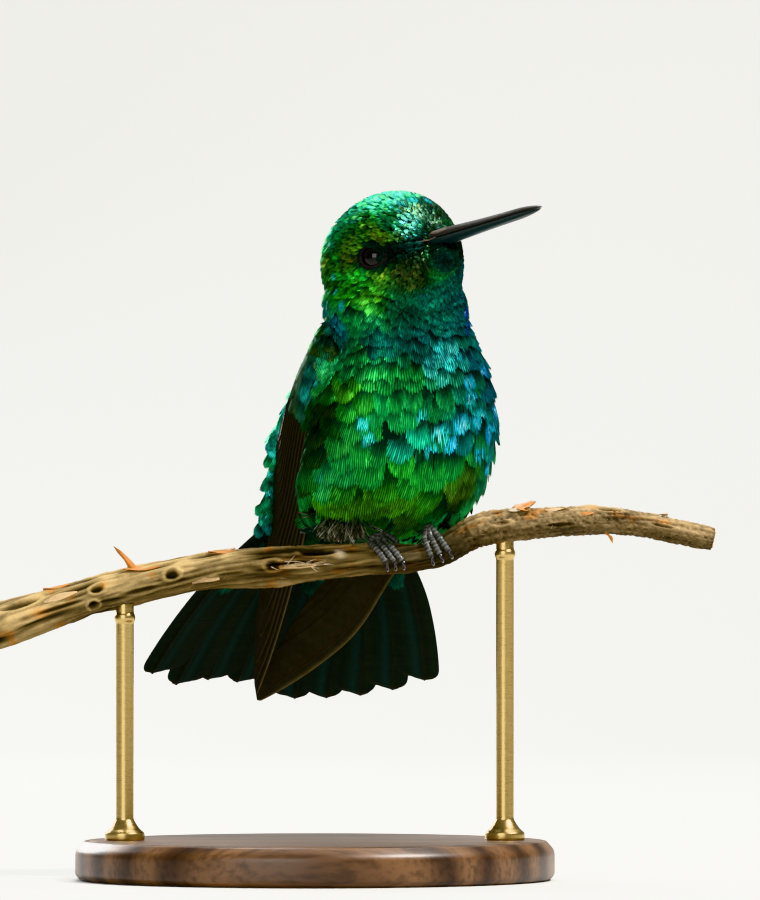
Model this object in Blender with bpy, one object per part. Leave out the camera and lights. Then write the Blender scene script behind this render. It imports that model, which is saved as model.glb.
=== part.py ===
"""A life-size emerald hummingbird gripping a short cut length of dry flower stem, on a plain display stand.

Millimetres are used in the design values and turned into metres where a mesh is made.
Axes: +Z is up, the stem runs along X, and -Y is the side that the bird faces. The origin is the middle of
the underside of the stand's base. "Right" and "left" are the bird's own.
"""

import math
from dataclasses import dataclass

import bmesh
import bpy
from mathutils import Vector

MM = 0.001
GAP = 0.3  # clear space kept between neighbouring solids

# ---------------------------------------------------------------- driving sizes, in millimetres and degrees

HEAD_CENTRE = Vector((8.1, -4.2, 61.7))
HEAD_YAW = 41.0  # the bill's heading, turned from -Y towards +X
HEAD_PITCH = 11.0  # the bill's rise above the horizon

BILL_ROOT = 6.0  # from the head's centre, along the bill
BILL_RISE = 0.9  # the bill's axis above the head's centre
BILL_LENGTH = 16.4  # root to tip
BILL_HALF_WIDTH = 1.45  # at the root
BILL_HALF_DEPTH = 1.0
BILL_SLIT = 0.12  # between the two halves
BILL_DEPTH_KEPT = 0.50  # share of its depth that is left where the tip starts to round off
BILL_DEPTH_FALL = 2.2  # above 1 takes most of the depth off near the head
BILL_TIP_SHARE = 0.24  # the rounded tip, as a share of the bill's length
BILL_TIP_POINT = 0.7  # above 0.5 the tip is more pointed than an ellipse
BILL_TIP_DEPTH = 0.05
BILL_LOWER_REACH = 0.985  # the lower half ends a little short of the upper
BILL_LOWER_DEPTH = 0.8

EYE_FORWARD = 2.45
EYE_SIDE = 4.5  # the eyeball's centre from the head's middle plane
EYE_RISE = -0.1
EYE_RADIUS = 1.6

TAIL_ROOT = Vector((2.5, 7.8, 39.4))
TAIL_YAW = 17.0
TAIL_PITCH = 47.0  # below the horizon
TAIL_ROLL = 3.7
TAIL_FEATHERS = 10
TAIL_LENGTH = 31.0
TAIL_SHORT_AT = -0.36  # where the fan has shorter feathers, from -1 at its right edge to 1
TAIL_SHORT_BY = 2.0
TAIL_SHORT_REACH = 0.34
TAIL_ROOT_HALF_WIDTH = 3.9
TAIL_FLARE = 0.725  # sideways for each millimetre back, where the outer feathers start
TAIL_BOW = 0.0102  # how fast the outer feathers curve inwards again
TAIL_CORNER = 1.5  # how much shorter the outermost feathers are
TAIL_ARCH = 0.9
TAIL_START = 3.0  # from the root, where the shafts leave the body
TAIL_SCALLOP = 0.05  # how far the rounded tips fall back between the feathers
FEATHER_THICKNESS = 0.55
FEATHER_STEP = 0.22  # how far each flight feather stands over the next

STEM_SIDES = 11
STEM_KNOB = 1.09  # the stem's highest knobs, as a share of its radius

ANKLE_RISE = 0.75  # the ankle over the top of the toes
ANKLE_STEP = Vector((0.0, 0.25, 0.42))  # from the foot's top knuckle up to the ankle
LEG_RADII = (0.42, 0.36, 0.36, 0.40, 0.46)
TOE_RADIUS = 0.30
TOE_SHAPE = (1.05, 1.0, 1.05, 0.92, 0.95, 0.8)  # its pads and joints, as shares of its radius
FRONT_TOE_CURL = (108, 190)  # round the stem in degrees, 90 being its top and 180 its front
HIND_TOE_CURL = (72, -8)
HIND_TOE_SHIFT = 0.35  # along the stem
CLAW_CURL = 32
CLAW_RADII = (0.26, 0.22, 0.15, 0.06)
BRACT_SHAPE = (1.25, 1.0, 0.8, 0.7, 0.5)

BASE_RADIUS = 24.0
BASE_HEIGHT = 4.0
BASE_CHAMFER = 0.8
ROD_RADIUS = 0.9
ROD_SPACING = 19.0  # each rod from the base's centre, along X
ROD_COLLAR_RADIUS = 2.0
ROD_COLLAR_HEIGHT = 1.2


@dataclass
class Section:
    """One cross-section of the trunk: its centre, the way its keel faces, and its half sizes."""

    centre: tuple
    yaw: float
    half_width: float
    back: float
    belly: float


# From the tip of the tail coverts up to the top of the neck, which is buried in the head.
TRUNK_SECTIONS = [
    Section((-0.7, 13.6, 33.0), 18, 6.6, 1.3, 1.6),
    Section((3.3, 8.6, 38.0), 20, 9.9, 6.0, 6.0),
    Section((6.2, 4.6, 42.0), 21, 11.5, 8.3, 9.2),
    Section((7.7, 1.2, 46.8), 22, 11.0, 8.2, 9.8),
    Section((8.3, -1.4, 51.4), 26, 9.2, 7.8, 8.4),
    Section((8.3, -3.0, 55.4), 31, 7.15, 7.0, 7.0),
    Section((7.9, -3.8, 58.4), 36, 7.2, 6.6, 6.2),
    Section((7.8, -4.2, 61.4), 38, 5.4, 4.6, 4.4),
]
TRUNK_SQUARENESS = 0.85  # 1 is an ellipse, less is fuller at the corners
RUMP_END = 1.25  # where the trunk is parted, counted in sections
NECK_START = 4.35

# The head along the bill's axis: (distance from its centre, half width, crown height, throat depth).
HEAD_PROFILE = [
    (-7.5, 2.0, 1.6, 2.2),
    (-6.8, 4.1, 3.8, 4.3),
    (-5.0, 5.8, 5.7, 5.8),
    (-2.4, 6.6, 6.9, 6.5),
    (0.2, 6.7, 7.2, 6.8),
    (2.6, 6.2, 6.8, 6.8),
    (4.6, 5.1, 5.8, 6.1),
    (6.1, 3.6, 4.3, 4.4),
    (7.2, 1.9, 2.5, 1.9),
]

# Each folded wing from its bend to its tip: a point on its leading edge and the one across from it, on the
# inner edge.
RIGHT_WING = [
    ((2.3, -7.2, 54.0), (1.7, -4.4, 56.2)),
    ((1.2, -5.2, 48.6), (-1.0, -1.5, 50.9)),
    ((0.2, -1.9, 42.3), (-2.9, 3.2, 44.8)),
    ((-0.7, 2.2, 36.6), (-4.0, 7.2, 39.4)),
    ((-2.0, 7.3, 31.0), (-4.7, 9.8, 33.2)),
    ((-3.7, 13.7, 24.9), (-6.0, 15.5, 26.2)),
    ((-6.1, 21.0, 17.6), (-6.4, 20.5, 18.7)),
]
LEFT_WING = [
    ((15.4, 0.5, 54.0), (13.4, 2.6, 56.4)),
    ((16.1, 1.4, 48.6), (14.5, 5.5, 51.0)),
    ((14.1, 3.6, 42.3), (13.1, 9.9, 45.0)),
    ((13.2, 7.5, 36.4), (11.6, 12.3, 39.3)),
    ((8.2, 11.0, 30.8), (4.2, 11.6, 33.2)),
    ((3.3, 17.0, 23.7), (-1.8, 16.0, 26.4)),
    ((-5.7, 23.5, 17.0), (-6.3, 22.7, 18.3)),
]
WING_SHINGLES = 4  # ridges across the wing, where its feathers overlap
WING_ARCH = 0.09  # how far the wing's outer side swells, as a share of its width
WING_ARM_THICKNESS = 1.7
WING_TIP_THICKNESS = 0.6
WING_ARM_END = 0.55  # share of the wing's length where it has thinned to the tip's thickness
WING_STAIR = 0.09  # how much each feather tip along the inner edge stands out, as a share of the width
WING_STAIRS = 10.5
WING_ROUND_FROM = 0.93  # share of the wing's length where its tip starts to round off
WING_COVER = 4.0  # depth of the body that is taken off over the wing's arm

# The flower stem: (x, y, z, radius) along its middle line.
STEM_LINE = [
    (-32.5, -1.6, 25.2, 2.15),
    (-22.0, -0.8, 28.4, 1.80),
    (-11.0, -0.2, 30.8, 1.75),
    (-3.5, 0.0, 31.5, 1.90),
    (4.0, 0.0, 31.9, 1.50),
    (11.5, 0.0, 32.6, 1.30),
    (16.5, 0.2, 34.9, 1.60),
    (23.0, 0.6, 35.7, 1.45),
    (31.0, 1.2, 35.8, 1.28),
    (39.8, 2.0, 34.0, 1.12),
]

RIGHT_FOOT_X = 7.2
LEFT_FOOT_X = 12.2
RIGHT_FOOT_LEAN = 1.6  # how far the front toes run to the left as they curl down the stem's front
LEFT_FOOT_LEAN = 0.3
RIGHT_HIP = Vector((3.6, 3.6, 35.8))
LEFT_HIP = Vector((13.4, 3.8, 37.2))
BRACTS = [(-17.6, 2.2, -1.6, 0.42), (21.0, 0.3, 1.3, 0.42)]  # (x, height, lean, radius)
TOE_SPREAD = 0.80  # between neighbouring front toes, along the stem

EMERALD = (0.01, 0.25, 0.08)
TEAL = (0.01, 0.22, 0.20)
FLIGHT_BROWN = (0.035, 0.028, 0.022)
TAIL_BLACK = (0.008, 0.014, 0.020)
HORN_BLACK = (0.015, 0.014, 0.014)
EYE_BLACK = (0.006, 0.004, 0.003)
SKIN_GREY = (0.045, 0.045, 0.05)
STEM_BROWN = (0.30, 0.21, 0.12)
BRACT_ORANGE = (0.42, 0.18, 0.04)
WALNUT = (0.10, 0.05, 0.025)
BRASS = (0.45, 0.33, 0.14)


# ---------------------------------------------------------------- small tools


def heading(yaw, pitch=0.0):
    """Unit vector that points along -Y, turned by yaw towards +X and raised by pitch."""
    turn, rise = math.radians(yaw), math.radians(pitch)
    return Vector((math.sin(turn) * math.cos(rise), -math.cos(turn) * math.cos(rise), math.sin(rise)))


def right_of(yaw):
    """Unit vector towards the bird's right, level, for a bird that faces that way."""
    turn = math.radians(yaw)
    return Vector((-math.cos(turn), -math.sin(turn), 0.0))


def mix(a, b, share):
    """The value that lies that share of the way from a to b."""
    return a + (b - a) * share


def smooth_through(rows, place):
    """Value at place, counted in rows, of the Catmull-Rom curve through rows of numbers."""
    last = len(rows) - 1
    start = min(int(place), last - 1)
    t = place - start
    a, b, c, d = (rows[min(max(start + k, 0), last)] for k in (-1, 0, 1, 2))
    return [
        0.5 * (2 * q + (r - p) * t + (2 * p - 5 * q + 4 * r - s) * t**2 + (3 * q - p - 3 * r + s) * t**3)
        for p, q, r, s in zip(a, b, c, d)
    ]


def finish_for(name, colour, roughness, metallic=0.0):
    """A Principled BSDF material, made once for each name."""
    made = bpy.data.materials.get(name)
    if made:
        return made
    made = bpy.data.materials.new(name)
    made.use_nodes = True
    shader = made.node_tree.nodes["Principled BSDF"]
    shader.inputs["Base Color"].default_value = (*colour, 1.0)
    shader.inputs["Roughness"].default_value = roughness
    shader.inputs["Metallic"].default_value = metallic
    return made


def solid_from(name, points, faces, material, sharp=50.0):
    """A closed mesh object from points in millimetres, with its faces turned outwards."""
    mesh = bpy.data.meshes.new(name)
    mesh.from_pydata([Vector(p) * MM for p in points], [], faces)
    shape = bmesh.new()
    shape.from_mesh(mesh)
    bmesh.ops.recalc_face_normals(shape, faces=shape.faces)
    shape.to_mesh(mesh)
    shape.free()
    mesh.shade_smooth()
    mesh.set_sharp_from_angle(angle=math.radians(sharp))
    mesh.materials.append(material)
    made = bpy.data.objects.new(name, mesh)
    bpy.context.scene.collection.objects.link(made)
    return made


def rings_to_solid(name, rings, material, sharp=50.0):
    """Closed skin over rings of equally many points, with a flat cap on each end."""
    count = len(rings[0])
    points = [p for ring in rings for p in ring]
    faces = []
    for row in range(len(rings) - 1):
        for k in range(count):
            a, b = row * count + k, row * count + (k + 1) % count
            faces.append((a, b, b + count, a + count))
    faces.append(tuple(range(count)))
    faces.append(tuple(range(len(points) - count, len(points))))
    return solid_from(name, points, faces, material, sharp)


def helper(thing):
    """Marks an object as a cutter, which isn't part of the model."""
    thing.hide_render = True
    thing.display_type = "WIRE"
    return thing


def carve(thing, *cutters):
    """Cuts each cutter's shape out of the thing."""
    for cutter in cutters:
        cut = thing.modifiers.new("clear_of_" + cutter.name, "BOOLEAN")
        cut.operation = "DIFFERENCE"
        cut.solver = "EXACT"
        cut.object = helper(cutter)


# ---------------------------------------------------------------- trunk, neck and head


def fuller(part):
    """A sine or cosine, pushed outwards so that a section is fuller than an ellipse."""
    return math.copysign(abs(part) ** TRUNK_SQUARENESS, part)


def trunk_ring(place, sides):
    """Ring of points round the trunk at a place counted in sections."""
    rows = [(*s.centre, s.yaw, s.half_width, s.back, s.belly) for s in TRUNK_SECTIONS]
    x, y, z, yaw, half_width, back, belly = smooth_through(rows, place)
    step = 0.02
    before = Vector(smooth_through(rows, max(place - step, 0.0))[:3])
    after = Vector(smooth_through(rows, min(place + step, len(rows) - 1.0))[:3])
    along = (after - before).normalized()
    side = right_of(yaw)
    side = (side - along * side.dot(along)).normalized()
    up = side.cross(along)
    ring = []
    for k in range(sides):
        angle = 2 * math.pi * k / sides
        tall = back if math.sin(angle) > 0 else belly
        across, rise = half_width * fuller(math.cos(angle)), tall * fuller(math.sin(angle))
        ring.append(Vector((x, y, z)) + side * across + up * rise)
    return ring


def trunk_length(name, start, end, rows, sides, material):
    """One length of the trunk, between two places counted in sections."""
    places = [mix(start, end, k / (rows - 1)) for k in range(rows)]
    return rings_to_solid(name, [trunk_ring(p, sides) for p in places], material)


def head_axes():
    """The head's own forward, right and up."""
    forward = heading(HEAD_YAW, HEAD_PITCH)
    right = right_of(HEAD_YAW)
    return forward, right, right.cross(forward)


def head_point(forward_by, right_by, up_by):
    """A place given in the head's own axes, from its centre."""
    forward, right, up = head_axes()
    return HEAD_CENTRE + forward * forward_by + right * right_by + up * up_by


def head_rings(rows, sides, grow=0.0):
    """Rings of points over the head from its nape to the bill's base."""
    last = len(HEAD_PROFILE) - 1
    rings = []
    for row in range(rows):
        reach, half_width, crown, throat = smooth_through(HEAD_PROFILE, last * row / (rows - 1))
        reach += grow * (2 * row / (rows - 1) - 1)
        ring = []
        for k in range(sides):
            angle = 2 * math.pi * k / sides
            tall = crown if math.sin(angle) > 0 else throat
            across = (half_width + grow) * math.cos(angle)
            ring.append(head_point(reach, across, (tall + grow) * math.sin(angle)))
        rings.append(ring)
    return rings


# ---------------------------------------------------------------- bill and eyes


def bill_half(name, part, grow=0.0):
    """The upper (+1) or lower (-1) half of the bill: a half cone that rounds off at its tip."""
    rows, around = 8, 6
    length = BILL_LENGTH * (1.0 if part > 0 else BILL_LOWER_REACH)
    depth = BILL_HALF_DEPTH * (1.0 if part > 0 else BILL_LOWER_DEPTH)
    rings = []
    for row in range(rows):
        left = 1 - math.sin(0.5 * math.pi * row / (rows - 1))
        rounding = (1 - max(0.0, 1 - left / BILL_TIP_SHARE) ** 2) ** BILL_TIP_POINT
        taper = mix(BILL_DEPTH_KEPT, 1.0, left**BILL_DEPTH_FALL) * rounding + BILL_TIP_DEPTH
        reach = BILL_ROOT + length * (1 - left)
        wide = BILL_HALF_WIDTH * taper
        deep = depth * taper
        ring = []
        for k in range(around):
            angle = math.pi * k / (around - 1)
            rise = BILL_RISE + part * ((BILL_SLIT - grow) / 2 + (deep + grow) * math.sin(angle))
            ring.append(head_point(reach, (wide + grow) * math.cos(angle), rise))
        rings.append(ring)
    return rings_to_solid(name, rings, finish_for("bill_horn", HORN_BLACK, 0.35), sharp=40)


def ball(name, centre, radius, segments, rings, material):
    """A round ball at a place in millimetres."""
    mesh = bpy.data.meshes.new(name)
    shape = bmesh.new()
    bmesh.ops.create_uvsphere(shape, u_segments=segments, v_segments=rings, radius=radius * MM)
    shape.to_mesh(mesh)
    shape.free()
    mesh.shade_smooth()
    mesh.materials.append(material)
    made = bpy.data.objects.new(name, mesh)
    made.location = centre * MM
    bpy.context.scene.collection.objects.link(made)
    return made


def eye_centre(side):
    """Middle of the eyeball on the right (1) or left (-1)."""
    return head_point(EYE_FORWARD, side * EYE_SIDE, EYE_RISE)


# ---------------------------------------------------------------- flight feathers


def shingled_solid(name, outer, inner, material):
    """Closed plate between two grids of points, outer[row][column] and inner[row][column]."""
    rows, columns = len(outer), len(outer[0])
    points = [p for row in outer for p in row] + [p for row in inner for p in row]
    under = rows * columns

    def at(row, column, below=0):
        return below * under + row * columns + column

    faces = []
    for row in range(rows - 1):
        for column in range(columns - 1):
            corners = [(row, column), (row, column + 1), (row + 1, column + 1), (row + 1, column)]
            faces.append([at(*c) for c in corners])
            faces.append([at(*c, 1) for c in reversed(corners)])
    rim = [(0, c) for c in range(columns)]
    rim += [(r, columns - 1) for r in range(1, rows)]
    rim += [(rows - 1, c) for c in range(columns - 2, -1, -1)]
    rim += [(r, 0) for r in range(rows - 2, 0, -1)]
    for first, second in zip(rim, rim[1:] + rim[:1]):
        faces.append([at(*first), at(*first, 1), at(*second, 1), at(*second)])
    return solid_from(name, points, faces, material, sharp=35)


def shingle_columns(feathers, per_feather, riser):
    """(place across, height of the step) pairs: each feather slopes up to a short riser before the next."""
    columns = []
    for feather in range(feathers):
        for k in range(per_feather + 1):
            share = k / per_feather * (1 - riser)
            columns.append((feather + share, k / per_feather))
    return columns


def tail_axes():
    """The tail's backward, right and upper directions."""
    back = -heading(TAIL_YAW, TAIL_PITCH)
    right = right_of(TAIL_YAW)
    roll = math.radians(TAIL_ROLL)
    right = (right * math.cos(roll) + Vector((0, 0, 1)) * math.sin(roll)).normalized()
    right = (right - back * right.dot(back)).normalized()
    return back, right, back.cross(right)


def tail_point(to_side, back_by, up_by):
    """A place on the fan: to_side runs from -1 at its right edge to 1 at its left edge."""
    back, right, upper = tail_axes()
    spread = TAIL_ROOT_HALF_WIDTH + TAIL_FLARE * back_by - TAIL_BOW * back_by**2
    lift = TAIL_ARCH * (1 - to_side**2) + up_by
    return TAIL_ROOT + back * back_by - right * to_side * spread + upper * lift


def tail_tip(place, to_side):
    """How far back the fan reaches there: each feather's tip is rounded."""
    scallop = TAIL_SCALLOP * abs(2 * (place - int(place)) - 0.9) ** 2.5
    radius = TAIL_LENGTH * (1 - scallop) - TAIL_CORNER * abs(to_side) ** 5
    radius -= TAIL_SHORT_BY * max(0.0, 1 - ((to_side - TAIL_SHORT_AT) / TAIL_SHORT_REACH) ** 2)
    slant = to_side * (TAIL_ROOT_HALF_WIDTH / radius + TAIL_FLARE - TAIL_BOW * radius * 0.9)
    return radius / math.sqrt(1 + slant**2)


def tail_solid(name):
    """The fanned tail as one plate with a step for each of its feathers."""
    rows, half = 6, TAIL_FEATHERS / 2
    outer, inner = [], []
    for row in range(rows):
        outer.append([])
        inner.append([])
        for place, step in shingle_columns(TAIL_FEATHERS, 3, 0.10):
            to_side = (place - half) / half
            reach = mix(TAIL_START, tail_tip(place, to_side), row / (rows - 1))
            ridge = FEATHER_STEP * ((step if place >= half else 1 - step) - 0.5)
            outer[-1].append(tail_point(to_side, reach, ridge + FEATHER_THICKNESS / 2))
            inner[-1].append(tail_point(to_side, reach, ridge - FEATHER_THICKNESS / 2))
    return shingled_solid(name, outer, inner, finish_for("tail_vanes", TAIL_BLACK, 0.5))


def tail_room(name):
    """Smooth cutter that clears the tail out of the coverts round its root."""
    room = (FEATHER_THICKNESS + FEATHER_STEP) / 2 + GAP
    sides = [-1.05 + 2.1 * k / 10 for k in range(11)]
    reaches = [TAIL_START - GAP, 8.0, 14.0]
    outer = [[tail_point(side, reach, room) for side in sides] for reach in reaches]
    inner = [[tail_point(side, reach, -room) for side in sides] for reach in reaches]
    return shingled_solid(name, outer, inner, finish_for("tail_vanes", TAIL_BLACK, 0.5))


def wing_frame(edges, place):
    """(leading point, width, way along, way across, way out) of a wing at a place counted in its rows."""
    last = len(edges) - 1
    leads = [lead for lead, _ in edges]
    trails = [trail for _, trail in edges]
    lead = Vector(smooth_through(leads, place))
    trail = Vector(smooth_through(trails, place))
    ahead = Vector(smooth_through(leads, min(last, place + 0.1)))
    behind = Vector(smooth_through(leads, max(0.0, place - 0.1)))
    along = (ahead - behind).normalized()
    chord = (trail - lead).normalized()
    return lead, (trail - lead).length, along, chord, along.cross(chord).normalized()


def wing_half_thickness(share, crown):
    """Half the wing's thickness at a share of its length, fullest where crown is 1."""
    thick = mix(WING_ARM_THICKNESS, WING_TIP_THICKNESS, min(1.0, share / WING_ARM_END)) / 2
    return max(thick * (0.3 + 0.7 * math.sqrt(crown)), WING_TIP_THICKNESS / 2)


def wing_solid(name, edges, outside):
    """A folded wing as one plate with ridges along it, thick over the arm and thin at the tip."""
    rows = 22
    outer, inner = [], []
    for row in range(rows):
        share = row / (rows - 1)
        lead, width, _, chord, normal = wing_frame(edges, share * (len(edges) - 1))
        normal *= outside
        stair = 1 - WING_STAIR * ((share * WING_STAIRS) % 1) * min(1.0, 3 * share)
        rounding = max(0.0, (share - WING_ROUND_FROM) / (1 - WING_ROUND_FROM))
        ends = math.sqrt(1 - 0.8 * rounding**2)
        width *= stair * ends * (0.75 + 0.25 * min(1.0, share / 0.1))
        outer.append([])
        inner.append([])
        for spot, rise in shingle_columns(WING_SHINGLES, 2, 0.14):
            across = spot / (WING_SHINGLES - 0.14)
            crown = max(0.0, math.sin(math.pi * across))
            arch = WING_ARCH * width * crown * (1 - share) + FEATHER_STEP * (0.5 - rise)
            point = lead + chord * width * across + normal * arch
            body = wing_half_thickness(share, crown)
            outer[-1].append(point + normal * body)
            inner[-1].append(point - normal * body)
    return shingled_solid(name, outer, inner, finish_for("wing_vanes", FLIGHT_BROWN, 0.6))


def wing_room(name, edges, outside):
    """Smooth cutter that clears a wing out of the body, and takes off what would lie over the wing's arm."""
    rows, columns = 15, 5
    spare = FEATHER_STEP / 2 + GAP
    outer, inner = [], []
    for row in range(rows):
        share = row / (rows - 1)
        lead, width, along, chord, normal = wing_frame(edges, share * (len(edges) - 1))
        normal *= outside
        cover = WING_COVER * min(1.0, max(0.0, (0.66 - share) / 0.2))
        outer.append([])
        inner.append([])
        for column in range(columns):
            across = column / (columns - 1)
            crown = max(0.0, math.sin(math.pi * across))
            arch = WING_ARCH * width * crown * (1 - share)
            point = lead + chord * mix(-GAP, width + GAP, across) + normal * arch
            point += along * (share - 0.5) * 2 * GAP
            body = wing_half_thickness(share, crown) + spare
            outer[-1].append(point + normal * (body + cover))
            inner[-1].append(point - normal * body)
    return shingled_solid(name, outer, inner, finish_for("wing_vanes", FLIGHT_BROWN, 0.6))


# ---------------------------------------------------------------- stem, legs and toes


def stem_at(place):
    """(middle, radius, direction) of the stem at a place counted in its rows."""
    x, y, z, radius = smooth_through(STEM_LINE, place)
    step = 0.05
    before = Vector(smooth_through(STEM_LINE, max(0.0, place - step))[:3])
    after = Vector(smooth_through(STEM_LINE, min(len(STEM_LINE) - 1, place + step))[:3])
    return Vector((x, y, z)), radius, (after - before).normalized()


def stem_near(x):
    """Place on the stem, counted in its rows, where its middle line crosses that x."""
    low, high = 0.0, len(STEM_LINE) - 1.0
    for _ in range(30):
        half = (low + high) / 2
        if stem_at(half)[0].x < x:
            low = half
        else:
            high = half
    return low


def stem_ring(place, grow):
    """Ring of points round the stem, uneven as a dry flower stem is."""
    middle, radius, along = stem_at(place)
    up = (Vector((0, 0, 1)) - along * along.z).normalized()
    side = up.cross(along)
    ring = []
    for k in range(STEM_SIDES):
        angle = 2 * math.pi * k / STEM_SIDES
        bump = 0.05 * math.sin(3 * angle + 2.3 * place) + 0.04 * math.sin(5 * angle - 3.1 * place)
        reach = radius * (1 + bump) + grow
        ring.append(middle + (side * math.cos(angle) + up * math.sin(angle)) * reach)
    return ring


def stem_solid(name, rows, grow=0.0):
    """The stem over its whole length, or a cutter that is larger all round."""
    last = len(STEM_LINE) - 1
    rings = [stem_ring(last * row / (rows - 1), grow) for row in range(rows)]
    return rings_to_solid(name, rings, finish_for("dry_stem", STEM_BROWN, 0.85), sharp=60)


def tube(name, line, radii, sides, material):
    """A round limb along a line of points, with a radius at each."""
    rings = []
    for k, middle in enumerate(line):
        along = (line[min(k + 1, len(line) - 1)] - line[max(k - 1, 0)]).normalized()
        side = along.cross(Vector((1.0, 0.05, 0.0))).normalized()
        other = along.cross(side)
        turn = [2 * math.pi * j / sides for j in range(sides)]
        rings.append([middle + (side * math.cos(a) + other * math.sin(a)) * radii[k] for a in turn])
    return rings_to_solid(name, rings, material)


def round_stem(x, start, end, clear, count, lean=0.0):
    """Points that curl round the stem at x, from one angle to another; 90 is its top and 180 its front."""
    points = []
    for k in range(count):
        share = k / (count - 1)
        middle, radius, along = stem_at(stem_near(x + lean * (share - 0.5)))
        up = (Vector((0, 0, 1)) - along * along.z).normalized()
        front = along.cross(up)
        if front.y > 0:
            front = -front
        angle = math.radians(mix(start, end, share))
        reach = radius * STEM_KNOB + clear
        points.append(middle + (up * math.sin(angle) - front * math.cos(angle)) * reach)
    return points


def foot(side_name, x, lean, hip, *flesh):
    """The leg, toes and claws of one foot that grips the stem at x, with room for it in the flesh."""
    skin = finish_for("foot_skin", SKIN_GREY, 0.45)
    horn = finish_for("claw_horn", HORN_BLACK, 0.3)
    clear = TOE_RADIUS + GAP
    ankle = round_stem(x - lean / 2, 90, 90, clear + ANKLE_RISE, 2)[0] + ANKLE_STEP
    leg_line = [ankle.lerp(hip, k / 4) for k in range(5)]
    tube("leg_" + side_name, leg_line, LEG_RADII, 7, skin)
    leg_line[-1] = ankle.lerp(hip, 1.12)
    room = tube(f"leg_{side_name}_clearance", leg_line, [r + GAP for r in LEG_RADII], 7, skin)
    for part in flesh:
        carve(part, room)
    for number in range(4):
        front = number < 3
        shift = (number - 1) * TOE_SPREAD if front else HIND_TOE_SHIFT
        start, end = FRONT_TOE_CURL if front else HIND_TOE_CURL
        curl = round_stem(x + shift, start, end, clear, 6, lean if front else -lean)
        thick = [TOE_RADIUS * share for share in TOE_SHAPE]
        tube(f"toe_{side_name}_{number + 1}", curl, thick, 6, skin)
        turn = 1 if front else -1
        first = end + turn * (math.degrees(GAP / 2.0) + 2.0)
        tip_x = x + shift + (lean if front else -lean) / 2
        hook = round_stem(tip_x, first, first + turn * CLAW_CURL, TOE_RADIUS + 0.26, 4)
        tube(f"claw_{side_name}_{number + 1}", hook, CLAW_RADII, 5, horn)


def thorn(name, x, height, lean, radius):
    """A dry bract that stands off the stem."""
    middle, stem_radius, along = stem_at(stem_near(x))
    up = (Vector((0, 0, 1)) - along * along.z).normalized()
    foot_at = middle + up * (stem_radius * STEM_KNOB + GAP)
    line = [foot_at + up * height * k / 4 + along * lean * (k / 4) ** 1.5 for k in range(5)]
    radii = [radius * share for share in BRACT_SHAPE]
    return tube(name, line, radii, 7, finish_for("dry_bract", BRACT_ORANGE, 0.7))


# ---------------------------------------------------------------- stand


def turned(name, profile, steps, material, centre=(0.0, 0.0)):
    """A closed round solid from (radius, height) pairs, bottom to top."""
    middle = Vector((*centre, 0.0))
    turn = [2 * math.pi * k / steps for k in range(steps)]
    rings = [
        [middle + Vector((radius * math.cos(a), radius * math.sin(a), height)) for a in turn]
        for radius, height in profile
    ]
    return rings_to_solid(name, rings, material, sharp=30)


def stand():
    """The round base, and a rod with a collar near each end of the stem."""
    walnut = finish_for("walnut", WALNUT, 0.35)
    brass = finish_for("brass", BRASS, 0.3, 1.0)
    edge = BASE_RADIUS - BASE_CHAMFER
    profile = [
        (edge + 0.4, 0.0),
        (BASE_RADIUS, 0.4),
        (BASE_RADIUS, BASE_HEIGHT - BASE_CHAMFER),
        (BASE_RADIUS - 0.25, BASE_HEIGHT - 0.25),
        (edge, BASE_HEIGHT),
    ]
    turned("stand_base", profile, 40, walnut)
    for number, x in enumerate((-ROD_SPACING, ROD_SPACING), start=1):
        middle, _, _ = stem_at(stem_near(x))
        start = BASE_HEIGHT + GAP
        profile = [
            (ROD_COLLAR_RADIUS, start),
            (ROD_COLLAR_RADIUS, start + ROD_COLLAR_HEIGHT * 0.5),
            (ROD_RADIUS * 1.25, start + ROD_COLLAR_HEIGHT),
            (ROD_RADIUS, start + ROD_COLLAR_HEIGHT * 1.5),
            (ROD_RADIUS, middle.z),
        ]
        rod = turned(f"stand_rod_{number}", profile, 14, brass, (x, middle.y))
        carve(rod, stem_solid(f"stem_clearance_{number}", 31, grow=GAP))


# ---------------------------------------------------------------- the whole bird


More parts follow.
